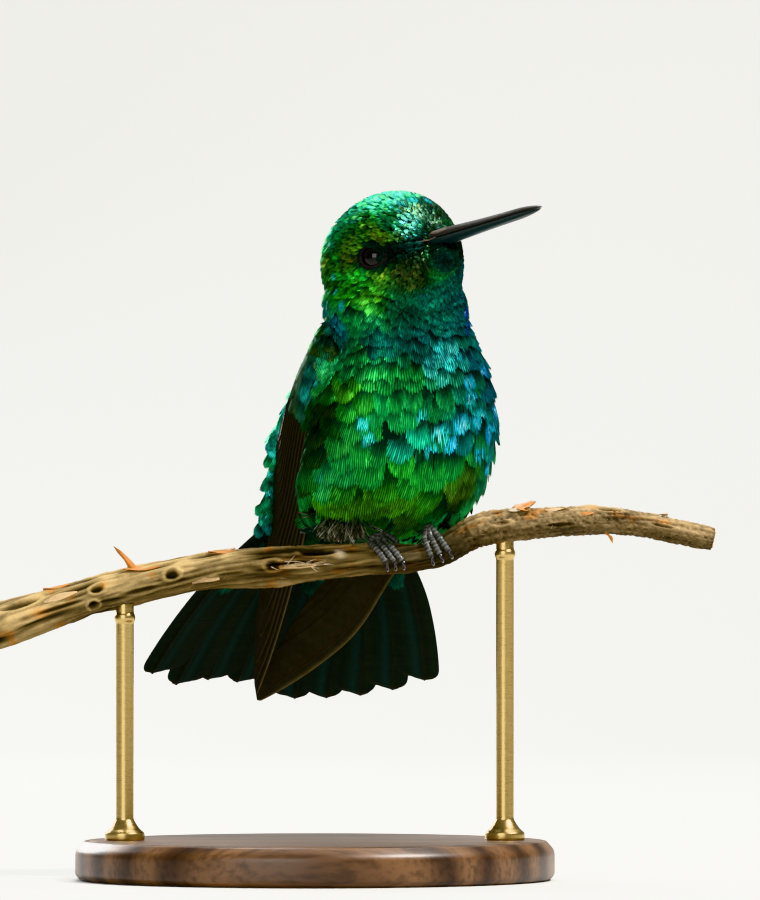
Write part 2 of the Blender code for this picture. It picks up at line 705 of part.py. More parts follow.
def build():
    """Makes every part and clears each out of its neighbours."""
    for old in list(bpy.data.objects):
        bpy.data.objects.remove(old, do_unlink=True)

    emerald = finish_for("emerald_feathers", EMERALD, 0.35, 0.5)
    teal = finish_for("teal_feathers", TEAL, 0.35, 0.5)

    seam = GAP / 5.0  # half a gap, counted in sections about 5 mm apart
    rump = trunk_length("rump", 0.0, RUMP_END - seam / 2, 6, 24, teal)
    trunk = trunk_length("trunk", RUMP_END + seam / 2, NECK_START - seam / 2, 11, 24, emerald)
    neck = trunk_length("neck", NECK_START + seam / 2, len(TRUNK_SECTIONS) - 1.0, 7, 24, emerald)
    head = rings_to_solid("head", head_rings(13, 24), emerald)

    tail_solid("tail")
    for side, edges, outside in (("right", RIGHT_WING, -1), ("left", LEFT_WING, 1)):
        wing_solid("wing_" + side, edges, outside)
        clear = wing_room(f"wing_{side}_clearance", edges, outside)
        carve(trunk, clear)
        carve(rump, clear)
        carve(neck, clear)
    carve(rump, tail_room("tail_clearance"))
    carve(neck, rings_to_solid("head_clearance", head_rings(12, 22, grow=GAP), emerald))

    glossy = finish_for("eye_black", EYE_BLACK, 0.05)
    for side_name, side in (("right", 1), ("left", -1)):
        ball("eye_" + side_name, eye_centre(side), EYE_RADIUS, 14, 9, glossy)
        carve(head, ball(f"socket_{side_name}", eye_centre(side), EYE_RADIUS + GAP, 14, 9, glossy))

    for name, part in (("bill_upper", 1), ("bill_lower", -1)):
        bill_half(name, part)
        carve(head, bill_half(name + "_clearance", part, grow=GAP))

    stem_solid("perch", 31)
    for number, bract in enumerate(BRACTS, start=1):
        thorn(f"perch_bract_{number}", *bract)

    foot("right", RIGHT_FOOT_X, RIGHT_FOOT_LEAN, RIGHT_HIP, trunk, rump)
    foot("left", LEFT_FOOT_X, LEFT_FOOT_LEAN, LEFT_HIP, trunk, rump)
    stand()


build()
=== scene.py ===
# %% [markdown]
# # A perched emerald hummingbird
# The frame holds the bird's plain solids: a head, a neck, a trunk, folded wings, a fanned tail and the
# stem that it sits on. This lesson dresses them. Each body feather becomes a small vane of mesh that lies
# on one skin, and bill, eyes, feet, stem and stand get their fine shapes and finishes.
# Lengths are in millimetres until a mesh is made, because a feather's size is easier to picture that way.

import math

import bpy
import numpy as np
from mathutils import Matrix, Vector
from mathutils.bvhtree import BVHTree


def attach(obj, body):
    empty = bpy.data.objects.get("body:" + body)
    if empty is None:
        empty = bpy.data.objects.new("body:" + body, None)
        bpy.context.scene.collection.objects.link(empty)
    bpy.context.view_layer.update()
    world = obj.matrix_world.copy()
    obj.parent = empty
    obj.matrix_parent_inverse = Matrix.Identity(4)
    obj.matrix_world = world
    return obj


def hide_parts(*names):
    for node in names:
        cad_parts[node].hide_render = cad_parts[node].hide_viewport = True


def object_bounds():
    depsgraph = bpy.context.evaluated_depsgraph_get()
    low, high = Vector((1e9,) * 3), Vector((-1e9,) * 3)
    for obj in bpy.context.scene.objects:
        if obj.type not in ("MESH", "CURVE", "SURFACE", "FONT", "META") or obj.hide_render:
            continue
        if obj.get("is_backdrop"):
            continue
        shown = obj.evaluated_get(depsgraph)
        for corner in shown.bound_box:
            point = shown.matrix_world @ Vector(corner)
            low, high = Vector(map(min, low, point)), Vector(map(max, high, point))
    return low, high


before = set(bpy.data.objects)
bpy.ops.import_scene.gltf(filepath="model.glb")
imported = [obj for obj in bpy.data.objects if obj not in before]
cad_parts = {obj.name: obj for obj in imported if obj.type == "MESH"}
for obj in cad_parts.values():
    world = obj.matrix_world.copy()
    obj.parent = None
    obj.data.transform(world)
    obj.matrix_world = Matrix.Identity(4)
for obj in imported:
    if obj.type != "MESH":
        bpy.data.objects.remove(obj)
solid_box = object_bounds()
print("solids:", len(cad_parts), "nodes, box", [round(v * 1000, 1) for v in solid_box[1] - solid_box[0]])

# %% [markdown]
# ## Small tools for numbers
# Thousands of feathers are quicker to lay out as arrays than one by one, so these helpers take arrays of
# points. `smooth_through` is the same rounded curve through a few rows of sizes that shapes the solids.

# %% Number tools
MM = 0.001
UP = np.array((0.0, 0.0, 1.0))
dice = np.random.default_rng(11)


def unit(v):
    return v / np.maximum(np.linalg.norm(v, axis=-1, keepdims=True), 1e-9)


def dot(a, b):
    return np.sum(a * b, axis=-1, keepdims=True)


def mix(a, b, share):
    return a + (b - a) * share


def ease(low, high, value):
    """0 below low, 1 above high, and a smooth step between them."""
    t = np.clip((value - low) / (high - low), 0, 1)
    return t * t * (3 - 2 * t)


def full_turn(count):
    """Angles spread evenly round a circle."""
    return np.linspace(0, 2 * math.pi, count, endpoint=False)


def smooth_through(rows, places):
    """The smooth curve through rows of numbers, read at places that are counted in rows."""
    rows = np.asarray(rows, float)
    places = np.clip(np.asarray(places, float), 0, len(rows) - 1)
    start = np.minimum(places.astype(int), len(rows) - 2)
    t = (places - start)[..., None]
    a, b, c, d = (rows[np.clip(start + k, 0, len(rows) - 1)] for k in (-1, 0, 1, 2))
    return 0.5 * (2 * b + (c - a) * t + (2 * a - 5 * b + 4 * c - d) * t**2 + (3 * b - a - 3 * c + d) * t**3)


def way_through(rows, places, step):
    """The way along that curve: from a step before each place to a step after it."""
    after = smooth_through(rows, np.minimum(places + step, len(rows) - 1))
    return after - smooth_through(rows, np.maximum(places - step, 0))


def heading(yaw, pitch=0.0):
    """Way that points along -Y, turned by yaw towards +X and raised by pitch."""
    turn, rise = np.radians(yaw), np.radians(pitch)
    level = np.cos(rise)
    return np.stack([np.sin(turn) * level, -np.cos(turn) * level, np.sin(rise) + 0 * turn], axis=-1)


def right_of(yaw):
    """The bird's own right, level, for a bird that faces that way."""
    turn = np.radians(yaw)
    return np.stack([-np.cos(turn), -np.sin(turn), 0 * turn], axis=-1)


# %% [markdown]
# ## Small tools for meshes
# A piece is made from an array of points and arrays of faces in one go. Colours that change from feather to
# feather go into a colour attribute, which the material reads, and the map named OFBake gives every feather
# a little patch of its own when the colours are baked.

# %% Mesh tools
def make_piece(name, points, face_sets, material, sharp=None):
    """A smooth object from points in millimetres and arrays of faces, one array for each corner count."""
    mesh = bpy.data.meshes.new(name)
    mesh.vertices.add(len(points))
    mesh.vertices.foreach_set("co", (np.asarray(points) * MM).astype(np.float32).ravel())
    corners = np.concatenate([np.asarray(f).ravel() for f in face_sets])
    sizes = np.concatenate([np.full(len(f), np.shape(f)[1]) for f in face_sets])
    mesh.loops.add(len(corners))
    mesh.loops.foreach_set("vertex_index", corners.astype(np.int32))
    mesh.polygons.add(len(sizes))
    mesh.polygons.foreach_set("loop_start", np.concatenate(([0], np.cumsum(sizes)[:-1])).astype(np.int32))
    mesh.update(calc_edges=True)
    mesh.validate()
    mesh.shade_smooth()
    if sharp:
        mesh.set_sharp_from_angle(angle=math.radians(sharp))
    mesh.materials.append(material)
    piece = bpy.data.objects.new(name, mesh)
    bpy.context.scene.collection.objects.link(piece)
    return piece


def facing_out(points, face_sets):
    """The faces of a closed shape, turned so that they face outwards."""
    volume = 0.0
    for faces in face_sets:
        faces = np.asarray(faces)
        for k in range(1, faces.shape[1] - 1):
            a, b, c = (points[faces[:, j]] for j in (0, k, k + 1))
            volume += np.einsum("ij,ij->", a, np.cross(b, c))
    return face_sets if volume > 0 else [np.asarray(faces)[:, ::-1] for faces in face_sets]


def paint(piece, name, colours):
    """Keeps a colour for each point of the piece."""
    full = np.ones((len(colours), 4), np.float32)
    full[:, :3] = colours
    layer = piece.data.color_attributes.new(name, "FLOAT_COLOR", "POINT")
    layer.data.foreach_set("color", full.ravel())


def map_points(piece, name, places):
    """A UV map that gives each point of the piece one place."""
    corners = np.empty(len(piece.data.loops), np.int32)
    piece.data.loops.foreach_get("vertex_index", corners)
    layer = piece.data.uv_layers.new(name=name)
    layer.data.foreach_set("uv", np.asarray(places, np.float32)[corners].ravel())


def grid_faces(rows, columns, wrap=False):
    """Quads between the points of a grid, whose last column may join its first."""
    row = np.arange(rows - 1)[:, None]
    column = np.arange(columns if wrap else columns - 1)[None, :]
    after = (column + 1) % columns
    a, b = row * columns + column, row * columns + after
    return np.stack([a, b, b + columns, a + columns], axis=-1).reshape(-1, 4)


def tube_faces(rows, around):
    """The sides of a tube of points and its two flat ends."""
    first = np.arange(around)[None]
    return [grid_faces(rows, around, wrap=True), first[:, ::-1], first + (rows - 1) * around]


def with_fan_ends(points, around):
    """A tube's points with a middle point for each end, its sides, and the fans that close it."""
    first, start = len(points), len(points) - around
    k = np.arange(around)
    after = (k + 1) % around
    fans = [np.stack([k * 0 + first, after, k], axis=-1),
            np.stack([k * 0 + first + 1, start + k, start + after], axis=-1)]
    ends = np.array([points[:around].mean(0), points[start:].mean(0)])
    return np.concatenate([points, ends]), [grid_faces(len(points) // around, around, wrap=True)] + fans


def settle(piece, slot, *nodes):
    """The piece rides on the bird and stands for its solids; its slot is not used."""
    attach(piece, "root")
    if nodes:
        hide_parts(*nodes)
    print(f"{piece.name}: {sum(len(p.vertices) - 2 for p in piece.data.polygons)} triangles")


# %% [markdown]
# ## The camera, the studio and the light
# A long lens from more than a metre away keeps the small bird free of distortion. The floor bends up into a
# low backdrop, so no horizon cuts through the picture, and a raised camera can still look over it at the
# bird's back. The feathers work like tiny mirrors, so broad soft lights give them their colour, and one
# smaller light draws the sparkle on the breast.

# %% Camera
VIEW_DISTANCE = 1.2
VIEW_WIDTH = 0.09
VIEW_CENTRE = Vector((0.0065, 0.0, 0.043))
camera = bpy.data.cameras.new("portrait_lens")
camera.sensor_width = 36
camera.lens = camera.sensor_width * VIEW_DISTANCE / VIEW_WIDTH
camera.clip_start = 0.05
camera.clip_end = 20
tripod = bpy.data.objects.new("portrait_camera", camera)
tripod.location = VIEW_CENTRE - Vector((0, VIEW_DISTANCE, 0))
tripod.rotation_euler = (math.radians(90), 0, 0)
bpy.context.scene.collection.objects.link(tripod)
bpy.context.scene.camera = tripod
bpy.context.scene.view_settings.view_transform = "Khronos PBR Neutral"
print("camera:", round(camera.lens), "mm lens")


# %% Studio sweep
def plain_finish(name, colour, roughness, metallic=0.0):
    """A material whose shader is ready for more nodes."""
    made = bpy.data.materials.new(name)
    made.use_nodes = True
    shader = made.node_tree.nodes["Principled BSDF"]
    shader.inputs["Base Color"].default_value = (*colour, 1.0)
    shader.inputs["Roughness"].default_value = roughness
    shader.inputs["Metallic"].default_value = metallic
    return made


SWEEP_FRONT, SWEEP_BACK, SWEEP_BEND, SWEEP_SIDE = -3000.0, 500.0, 150.0, 3000.0
bend = np.radians(np.linspace(0, 90, 25))
profile = [(SWEEP_FRONT, 0.0)]
profile += [(SWEEP_BACK + SWEEP_BEND * math.sin(a), SWEEP_BEND * (1 - math.cos(a))) for a in bend]
sweep_points = [(x, y, z) for y, z in profile for x in (-SWEEP_SIDE, SWEEP_SIDE)]
sweep = make_piece("studio_sweep", sweep_points, [grid_faces(len(profile), 2)],
                   plain_finish("matt_paper", (0.58, 0.58, 0.565), 0.9), sharp=60)
sweep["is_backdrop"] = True


# %% Lights
def soft_light(name, place, aim, size, power, colour=(1.0, 1.0, 1.0)):
    """A square soft box at a place in millimetres, turned towards its aim."""
    light = bpy.data.lights.new(name, "AREA")
    light.size = size * MM
    light.energy = power
    light.color = colour
    stand = bpy.data.objects.new(name, light)
    stand.location = Vector(place) * MM
    stand.rotation_euler = (Vector(aim) - Vector(place)).to_track_quat("-Z", "Y").to_euler()
    bpy.context.scene.collection.objects.link(stand)


BIRD_MIDDLE = (7, 2, 48)
soft_light("overhead_box", (20, 260, 620), BIRD_MIDDLE, 420, 5.6)
soft_light("sparkle_box", (330, -190, 480), BIRD_MIDDLE, 90, 5.6, (1.0, 0.98, 0.95))
soft_light("front_fill", (-240, -620, 240), BIRD_MIDDLE, 420, 2.4)
soft_light("back_rim", (-260, 480, 200), BIRD_MIDDLE, 200, 2.4)
world = bpy.data.worlds.new("studio_air")
world.use_nodes = True
world.node_tree.nodes["Background"].inputs["Color"].default_value = (0.92, 0.93, 0.86, 1.0)
world.node_tree.nodes["Background"].inputs["Strength"].default_value = 0.30
bpy.context.scene.world = world

# %% [markdown]
# ## The bird's forms
# The trunk is a loft through eight sections from the tail coverts to the neck, and the head a loft along
# the bill's axis. These are the sizes of the solids, out to the feather tips, so a `depth` takes a surface
# in from there: the skin lies a coat's depth inside, and the feathers fill the space between.

# %% Trunk and head surfaces
# Trunk sections: x, y, z of the middle, yaw of the keel, half width, height of the back, depth of the belly.
TRUNK = [
    (-0.7, 13.6, 33.0, 18, 6.6, 1.3, 1.6),
    (3.3, 8.6, 38.0, 20, 9.9, 6.0, 6.0),
    (6.2, 4.6, 42.0, 21, 11.5, 8.3, 9.2),
    (7.7, 1.2, 46.8, 22, 11.0, 8.2, 9.8),
    (8.3, -1.4, 51.4, 26, 9.2, 7.8, 8.4),
    (8.3, -3.0, 55.4, 31, 7.15, 7.0, 7.0),
    (7.9, -3.8, 58.4, 36, 7.2, 6.6, 6.2),
    (7.8, -4.2, 61.4, 38, 5.4, 4.6, 4.4),
]
TRUNK_SQUARENESS = 0.85  # 1 is an ellipse, less is fuller at the corners

HEAD_CENTRE = np.array((8.1, -4.2, 61.7))
HEAD_YAW = 41.0
HEAD_PITCH = 11.0
# The head along the bill's axis: distance from its centre, half width, crown height, throat depth.
HEAD = [
    (-7.5, 2.0, 1.6, 2.2),
    (-6.8, 4.1, 3.8, 4.3),
    (-5.0, 5.8, 5.7, 5.8),
    (-2.4, 6.6, 6.9, 6.5),
    (0.2, 6.7, 7.2, 6.8),
    (2.6, 6.2, 6.8, 6.8),
    (4.6, 5.1, 5.8, 6.1),
    (6.1, 3.6, 4.3, 4.4),
    (7.2, 1.9, 2.5, 1.9),
]
HEAD_FORWARD = heading(HEAD_YAW, HEAD_PITCH)
HEAD_RIGHT = right_of(HEAD_YAW)
HEAD_UP = np.cross(HEAD_RIGHT, HEAD_FORWARD)
HEAD_AXES = (HEAD_FORWARD, HEAD_RIGHT, HEAD_UP)


def fuller(part):
    """A sine or cosine, pushed outwards so that a section is fuller than an ellipse."""
    return np.sign(part) * np.abs(part) ** TRUNK_SQUARENESS


def trunk_surface(section, angle, depth=0.0):
    """Points on the trunk: section counts from the tail to the neck, and 90 degrees is the back."""
    section, angle = np.broadcast_arrays(np.asarray(section, float), np.asarray(angle, float))
    values = smooth_through(TRUNK, section)
    centre, yaw = values[..., :3], values[..., 3]
    half_width, back, belly = (values[..., k, None] for k in (4, 5, 6))
    along = unit(way_through(TRUNK, section, 0.02)[..., :3])
    side = right_of(yaw)
    side = unit(side - along * dot(side, along))
    tall = np.where(np.sin(angle)[..., None] > 0, back, belly)
    depth = np.asarray(depth)[..., None] if np.ndim(depth) else depth
    across = np.maximum(half_width - depth, 0.3) * fuller(np.cos(angle))[..., None]
    rise = np.maximum(tall - depth, 0.3) * fuller(np.sin(angle))[..., None]
    return centre + side * across + np.cross(side, along) * rise


def head_point(forward, right, up):
    """A place in the head's own axes, from its centre."""
    parts = np.broadcast_arrays(*(np.asarray(v, float)[..., None] for v in (forward, right, up)))
    return HEAD_CENTRE + HEAD_FORWARD * parts[0] + HEAD_RIGHT * parts[1] + HEAD_UP * parts[2]


def head_surface(section, angle, depth=0.0):
    """Points on the head: section counts from the nape to the bill, and 90 degrees is the crown."""
    reach, half_width, crown, throat = np.moveaxis(smooth_through(HEAD, section), -1, 0)
    reach = reach - depth * (2 * np.asarray(section, float) / (len(HEAD) - 1) - 1)
    tall = np.where(np.sin(angle) > 0, crown, throat)
    across = np.maximum(half_width - depth, 0.3) * np.cos(angle)
    return head_point(reach, across, np.maximum(tall - depth, 0.3) * np.sin(angle))


# %% Wing surfaces
# Each folded wing from its bend to its tip: a point on its leading edge and the one across from it.
RIGHT_WING = [
    ((2.3, -7.2, 54.0), (1.7, -4.4, 56.2)),
    ((1.2, -5.2, 48.6), (-1.0, -1.5, 50.9)),
    ((0.2, -1.9, 42.3), (-2.9, 3.2, 44.8)),
    ((-0.7, 2.2, 36.6), (-4.0, 7.2, 39.4)),
    ((-2.0, 7.3, 31.0), (-4.7, 9.8, 33.2)),
    ((-3.7, 13.7, 24.9), (-6.0, 15.5, 26.2)),
    ((-6.1, 21.0, 17.6), (-6.4, 20.5, 18.7)),
]
LEFT_WING = [
    ((15.4, 0.5, 54.0), (13.4, 2.6, 56.4)),
    ((16.1, 1.4, 48.6), (14.5, 5.5, 51.0)),
    ((14.1, 3.6, 42.3), (13.1, 9.9, 45.0)),
    ((13.2, 7.5, 36.4), (11.6, 12.3, 39.3)),
    ((8.2, 11.0, 30.8), (4.2, 11.6, 33.2)),
    ((3.3, 17.0, 23.7), (-1.8, 16.0, 26.4)),
    ((-5.7, 23.5, 17.0), (-6.3, 22.7, 18.3)),
]
WINGS = {"right": (RIGHT_WING, -1.0), "left": (LEFT_WING, 1.0)}
WING_ARCH = 0.09
WING_ARM_THICKNESS = 1.7
WING_TIP_THICKNESS = 0.6
WING_ARM_END = 0.55
BATCH = 4000  # points that are compared with a wing at a time


def wing_surface(side, along, across, out=0.0):
    """(points, ways out) on a wing's middle sheet: along it from its bend, across from its leading edge."""
    edges, outside = WINGS[side]
    along, across = np.broadcast_arrays(np.asarray(along, float), np.asarray(across, float))
    place = along * (len(edges) - 1)
    leads = [lead for lead, _ in edges]
    lead = smooth_through(leads, place)
    trail = smooth_through([trail for _, trail in edges], place)
    width = np.linalg.norm(trail - lead, axis=-1, keepdims=True)
    chord = unit(trail - lead)
    normal = unit(np.cross(unit(way_through(leads, place, 0.1)), chord)) * outside
    crown = np.maximum(0, np.sin(math.pi * np.clip(across, 0, 1)))[..., None]
    arch = WING_ARCH * width * crown * (1 - along[..., None])
    out = np.asarray(out, float)
    out = out[..., None] if out.ndim else out
    return lead + chord * width * across[..., None] + normal * (arch + out), normal


def wing_half_thickness(along, across):
    """Half the thickness that the solid gives the wing there."""
    crown = np.sqrt(np.maximum(0, np.sin(math.pi * np.clip(across, 0, 1))))
    thick = mix(WING_ARM_THICKNESS, WING_TIP_THICKNESS, np.minimum(1, along / WING_ARM_END)) / 2
    return np.maximum(thick * (0.3 + 0.7 * crown), WING_TIP_THICKNESS / 2)


def wing_places(points):
    """For each point and the nearer wing: its place along and across the wing, and how far out it lies."""
    best = np.full(len(points), 1e9)
    found = np.zeros((len(points), 4))
    ways = np.zeros((len(points), 3))
    for side in WINGS:
        v, u = np.meshgrid(np.linspace(0, 1, 60), np.linspace(-0.1, 1.1, 17), indexing="ij")
        spots, normals = wing_surface(side, v.ravel(), u.ravel())
        for start in range(0, len(points), BATCH):
            some = slice(start, start + BATCH)
            gaps = ((points[some, None, :] - spots[None]) ** 2).sum(-1)
            near = gaps.argmin(1)
            gap = points[some] - spots[near]
            out = dot(gap, normals[near])[:, 0]
            slide = np.linalg.norm(gap - normals[near] * out[:, None], axis=1)
            better = gaps.min(1) < best[some]
            rows = np.stack([v.ravel()[near], u.ravel()[near], out, slide], axis=1)
            found[some] = np.where(better[:, None], rows, found[some])
            ways[some] = np.where(better[:, None], normals[near], ways[some])
            best[some] = np.where(better, gaps.min(1), best[some])
    return found, ways


print("trunk sections:", len(TRUNK), "head sections:", len(HEAD), "wings:", len(WINGS))

# %% [markdown]
# ## The plumage's colours
# An emerald hummingbird isn't one green. Its crown is mint, its cheek grass green, its neck deep teal and its
# flank blue; the flank's blue is partly painted sheen, the hue that its feathers show at a grazing angle.
# Each patch below is one such area: a place on the bird and a reach. A feather's colour is a blend of the
# patches near its root, and the skin under it uses the same blend.

# %% Colour patches
BASE_GREEN = (0.020, 0.220, 0.035)
# Head patches: forward, right and up of the head's centre, reach, colour. Each also holds on the other side.
HEAD_PATCHES = [
    (-1.5, 1.5, 6.8, 3.2, (0.08, 0.50, 0.28)),
    (2.0, 1.5, 6.4, 2.2, (0.08, 0.46, 0.30)),
    (5.0, 1.0, 4.2, 1.8, (0.030, 0.060, 0.036)),
    (1.5, 5.6, 3.2, 1.4, (0.045, 0.150, 0.016)),
    (5.4, 2.6, 0.0, 1.7, (0.014, 0.018, 0.010)),
    (-0.5, 6.4, -2.0, 2.8, (0.025, 0.330, 0.030)),
    (-3.6, 5.4, -1.0, 2.2, (0.045, 0.180, 0.020)),
    (1.5, 5.2, -4.6, 2.2, (0.020, 0.160, 0.030)),
    (-5.5, 3.5, 2.0, 3.4, (0.030, 0.220, 0.060)),
    (3.6, 1.0, -5.8, 2.4, (0.008, 0.110, 0.070)),
    (-4.5, 3.5, -5.0, 2.6, (0.006, 0.110, 0.130)),
]
# Trunk patches: section, angle in degrees, reach, colour. 0 is the bird's right, 180 its left, 270 the keel.
TRUNK_PATCHES = [
    (6.0, 225, 3.4, (0.006, 0.090, 0.100)),
    (5.3, 20, 3.0, (0.006, 0.120, 0.110)),
    (5.6, 90, 3.4, (0.015, 0.220, 0.080)),
    (4.4, 195, 3.0, (0.008, 0.160, 0.200)),
    (3.4, 190, 3.6, (0.008, 0.140, 0.160)),
    (2.2, 205, 3.2, (0.020, 0.110, 0.040)),
    (1.3, 230, 3.0, (0.030, 0.120, 0.020)),
    (3.5, 90, 6.0, (0.015, 0.230, 0.060)),
    (1.6, 90, 4.5, (0.008, 0.170, 0.120)),
    (0.6, 60, 3.5, (0.006, 0.120, 0.170)),
    (0.5, 270, 3.0, (0.015, 0.090, 0.030)),
]


def patch_centres():
    """The middle, reach and colour of every patch on the solids' forms, as arrays."""
    middles, reaches, colours = [], [], []
    for forward, right, up, reach, colour in HEAD_PATCHES:
        for sign in (1, -1):
            middles.append(head_point(forward, sign * right, up))
            reaches.append(reach)
            colours.append(colour)
    for section, angle, reach, colour in TRUNK_PATCHES:
        middles.append(trunk_surface(section, math.radians(angle)))
        reaches.append(reach)
        colours.append(colour)
    return np.array(middles), np.array(reaches), np.array(colours)


PATCH_MIDDLES, PATCH_REACHES, PATCH_COLOURS = patch_centres()
# Places of painted sheen, highlights painted into the feathers' colour: x, y, z, reach, strength, and the hue
# from cyan 0 to blue 1 and violet 2.
PAINTED_GLINT_SPOTS = np.array([
    (*head_point(-1.5, -3.0, 6.2), 2.0, 0.8, 0), (*head_point(2.0, -3.0, 5.6), 1.6, 0.7, 0),
    (*head_point(-1.0, -6.0, -3.0), 1.6, 0.8, 0), (*trunk_surface(3.0, 1.6), 1.4, 0.8, 0),
    (*trunk_surface(4.0, 2.4), 1.3, 0.8, 0.3), (*trunk_surface(2.2, 1.2), 1.3, 0.8, 0),
    (*trunk_surface(3.6, 3.4), 1.4, 0.8, 0.8),
])


def painted_glint_share(points):
    """How much of the painted sheen each point has, from 0 to 1, and its hue."""
    gaps = np.linalg.norm(points[:, None, :] - PAINTED_GLINT_SPOTS[None, :, :3], axis=-1)
    shares = PAINTED_GLINT_SPOTS[:, 4] * np.exp(-((gaps / PAINTED_GLINT_SPOTS[:, 3]) ** 2))
    return shares.max(1), PAINTED_GLINT_SPOTS[shares.argmax(1), 5]


def plumage_colour(points):
    """The blend of the patches near each point."""
    gaps = np.linalg.norm(points[:, None, :] - PATCH_MIDDLES[None], axis=-1)
    weights = np.exp(-2.2 * (gaps / PATCH_REACHES) ** 2)
    total = weights.sum(1, keepdims=True) + 0.02
    return (weights @ PATCH_COLOURS + 0.02 * np.array(BASE_GREEN)) / total


print("colour patches:", len(PATCH_MIDDLES))

# %% [markdown]
# ## One skin under the plumage
# Head, neck, trunk and rump are one animal, so one skin replaces the four solids. Two closed lofts, each
# taken in by the coat's depth, and three small eggs at the root of the bill are fused by a voxel remesh,
# which leaves no seam. The skin is then pushed in under the wings, where a folded wing presses into the
# plumage, and smoothed.

# %% Skin
COAT_DEPTH = [1.0, 1.0, 1.05, 1.05, 0.95, 0.75, 0.6, 0.5]  # at each trunk section
HEAD_COAT = 0.42
SKIN_VOXEL = 0.34
LOFT_SIDES = 64
EGG_RINGS, EGG_SIDES = 12, 24


def coat_depth(section):
    return smooth_through(np.array(COAT_DEPTH)[:, None], section)[..., 0]


def closed_loft(surface, last, rings, depth_at):
    """A loft from section 0 to the last one, closed at both ends."""
    turn = full_turn(LOFT_SIDES)
    rows = [surface(np.full(LOFT_SIDES, s), turn, depth_at(s)) for s in np.linspace(0, last, rings)]
    return with_fan_ends(np.concatenate(rows), LOFT_SIDES)


def fused(name, lofts, material):
    """One mesh over several closed lofts, made of even voxels."""
    points, quads, caps, start = [], [], [], 0
    for loft_points, face_sets in lofts:
        points.append(loft_points)
        quads.append(face_sets[0] + start)
        caps += [f + start for f in face_sets[1:]]
        start += len(loft_points)
    face_sets = [np.concatenate(quads), np.concatenate(caps)]
    rough = make_piece("rough_" + name, np.concatenate(points), face_sets, material)
    remesh = rough.modifiers.new("even_voxels", "REMESH")
    remesh.mode = "VOXEL"
    remesh.voxel_size = SKIN_VOXEL * MM
    even = bpy.data.meshes.new_from_object(rough.evaluated_get(bpy.context.evaluated_depsgraph_get()))
    bpy.data.objects.remove(rough)
    return even


# %% Points of a mesh
def read_rows(mesh, kind):
    """The places ("co", in metres) or ways out ("normal") of all the mesh's points."""
    flat = np.empty(len(mesh.vertices) * 3, np.float32)
    mesh.vertices.foreach_get(kind, flat)
    return flat.reshape(-1, 3).astype(float)


def read_points(mesh):
    return read_rows(mesh, "co") / MM


def write_points(mesh, points):
    mesh.vertices.foreach_set("co", (points * MM).astype(np.float32).ravel())
    mesh.update()


def smooth_points(mesh, points, rounds):
    """Moves each point halfway to the middle of its neighbours, round after round."""
    edges = np.empty(len(mesh.edges) * 2, np.int32)
    mesh.edges.foreach_get("vertices", edges)
    a, b = edges.reshape(-1, 2).T
    count = np.bincount(a, minlength=len(points)) + np.bincount(b, minlength=len(points))
    for _ in range(rounds):
        total = np.zeros_like(points)
        np.add.at(total, a, points[b])
        np.add.at(total, b, points[a])
        points = mix(points, total / np.maximum(count, 1)[:, None], 0.5)
    return points


def press_under_wings(points):
    """Points that lie in a wing's room are moved in to just under it."""
    places, ways = wing_places(points)
    along, across, out, slide = places.T
    clear = -(wing_half_thickness(along, across) + 0.45)
    inside = (slide < 0.7) & (out > clear) & (out < 5.0) & (across > -0.08) & (across < 1.08)
    return points - ways * np.where(inside, out - clear, 0)[:, None]


# %% Eggs at the bill, and the skin
def egg_point(centre, sizes, slide, turn):
    """A place on an egg in the head's axes: slide runs from -1 at its back to 1 at its front."""
    wide = np.sqrt(1 - slide**2)
    return head_point(centre[0] + sizes[0] * slide, centre[1] + sizes[1] * wide * np.cos(turn),
                      centre[2] + sizes[2] * wide * np.sin(turn))


def point_over_bill(centre, sizes):
    """A closed egg over the root of the bill, for the feathered points of forehead and chin."""
    slide, turn = np.meshgrid(np.linspace(-0.98, 0.98, EGG_RINGS), full_turn(EGG_SIDES), indexing="ij")
    return with_fan_ends(egg_point(centre, sizes, slide, turn).reshape(-1, 3), EGG_SIDES)


# Each egg: its middle and its half sizes, as forward, right and up of the head's centre.
FOREHEAD_POINT = ((6.7, 0.0, 1.45), (1.55, 1.05, 0.75))
CHIN_POINT = ((7.2, 0.0, -0.35), (2.1, 1.15, 0.85))
CHIN_FILL = ((6.3, 0.0, -1.4), (2.0, 1.6, 1.3))
skin_finish = plain_finish("down_and_skin", (0.01, 0.05, 0.02), 0.7)
body_lofts = [closed_loft(trunk_surface, len(TRUNK) - 1, 50, coat_depth),
              closed_loft(head_surface, len(HEAD) - 1, 40, lambda section: HEAD_COAT)]
bill_eggs = [point_over_bill(*egg) for egg in (FOREHEAD_POINT, CHIN_POINT, CHIN_FILL)]
skin_mesh = fused("skin", body_lofts + bill_eggs, skin_finish)
skin_points = smooth_points(skin_mesh, read_points(skin_mesh), 3)
skin_points = smooth_points(skin_mesh, press_under_wings(skin_points), 4)
write_points(skin_mesh, skin_points)
skin_mesh.shade_smooth()
skin = bpy.data.objects.new("skin", skin_mesh)
bpy.context.scene.collection.objects.link(skin)
settle(skin, "green_plumage", "head", "neck", "trunk", "rump")


# %% A bed for feathers
def bed_of(mesh):
    """A finder of the nearest places on a mesh, and of the smooth ways out of it there."""
    normals = read_rows(mesh, "normal")
    corners = [tuple(p.vertices) for p in mesh.polygons]
    tree = BVHTree.FromPolygons([Vector(p) for p in read_points(mesh)], corners)

    def snap(points):
        places = np.empty((len(points), 3))
        ways = np.empty((len(points), 3))
        for k, point in enumerate(points):
            place, _, face, _ = tree.find_nearest(Vector(point))
            places[k] = place
            ways[k] = normals[list(corners[face])].mean(0)
        return places, unit(ways)

    return snap


skin_bed = bed_of(skin_mesh)
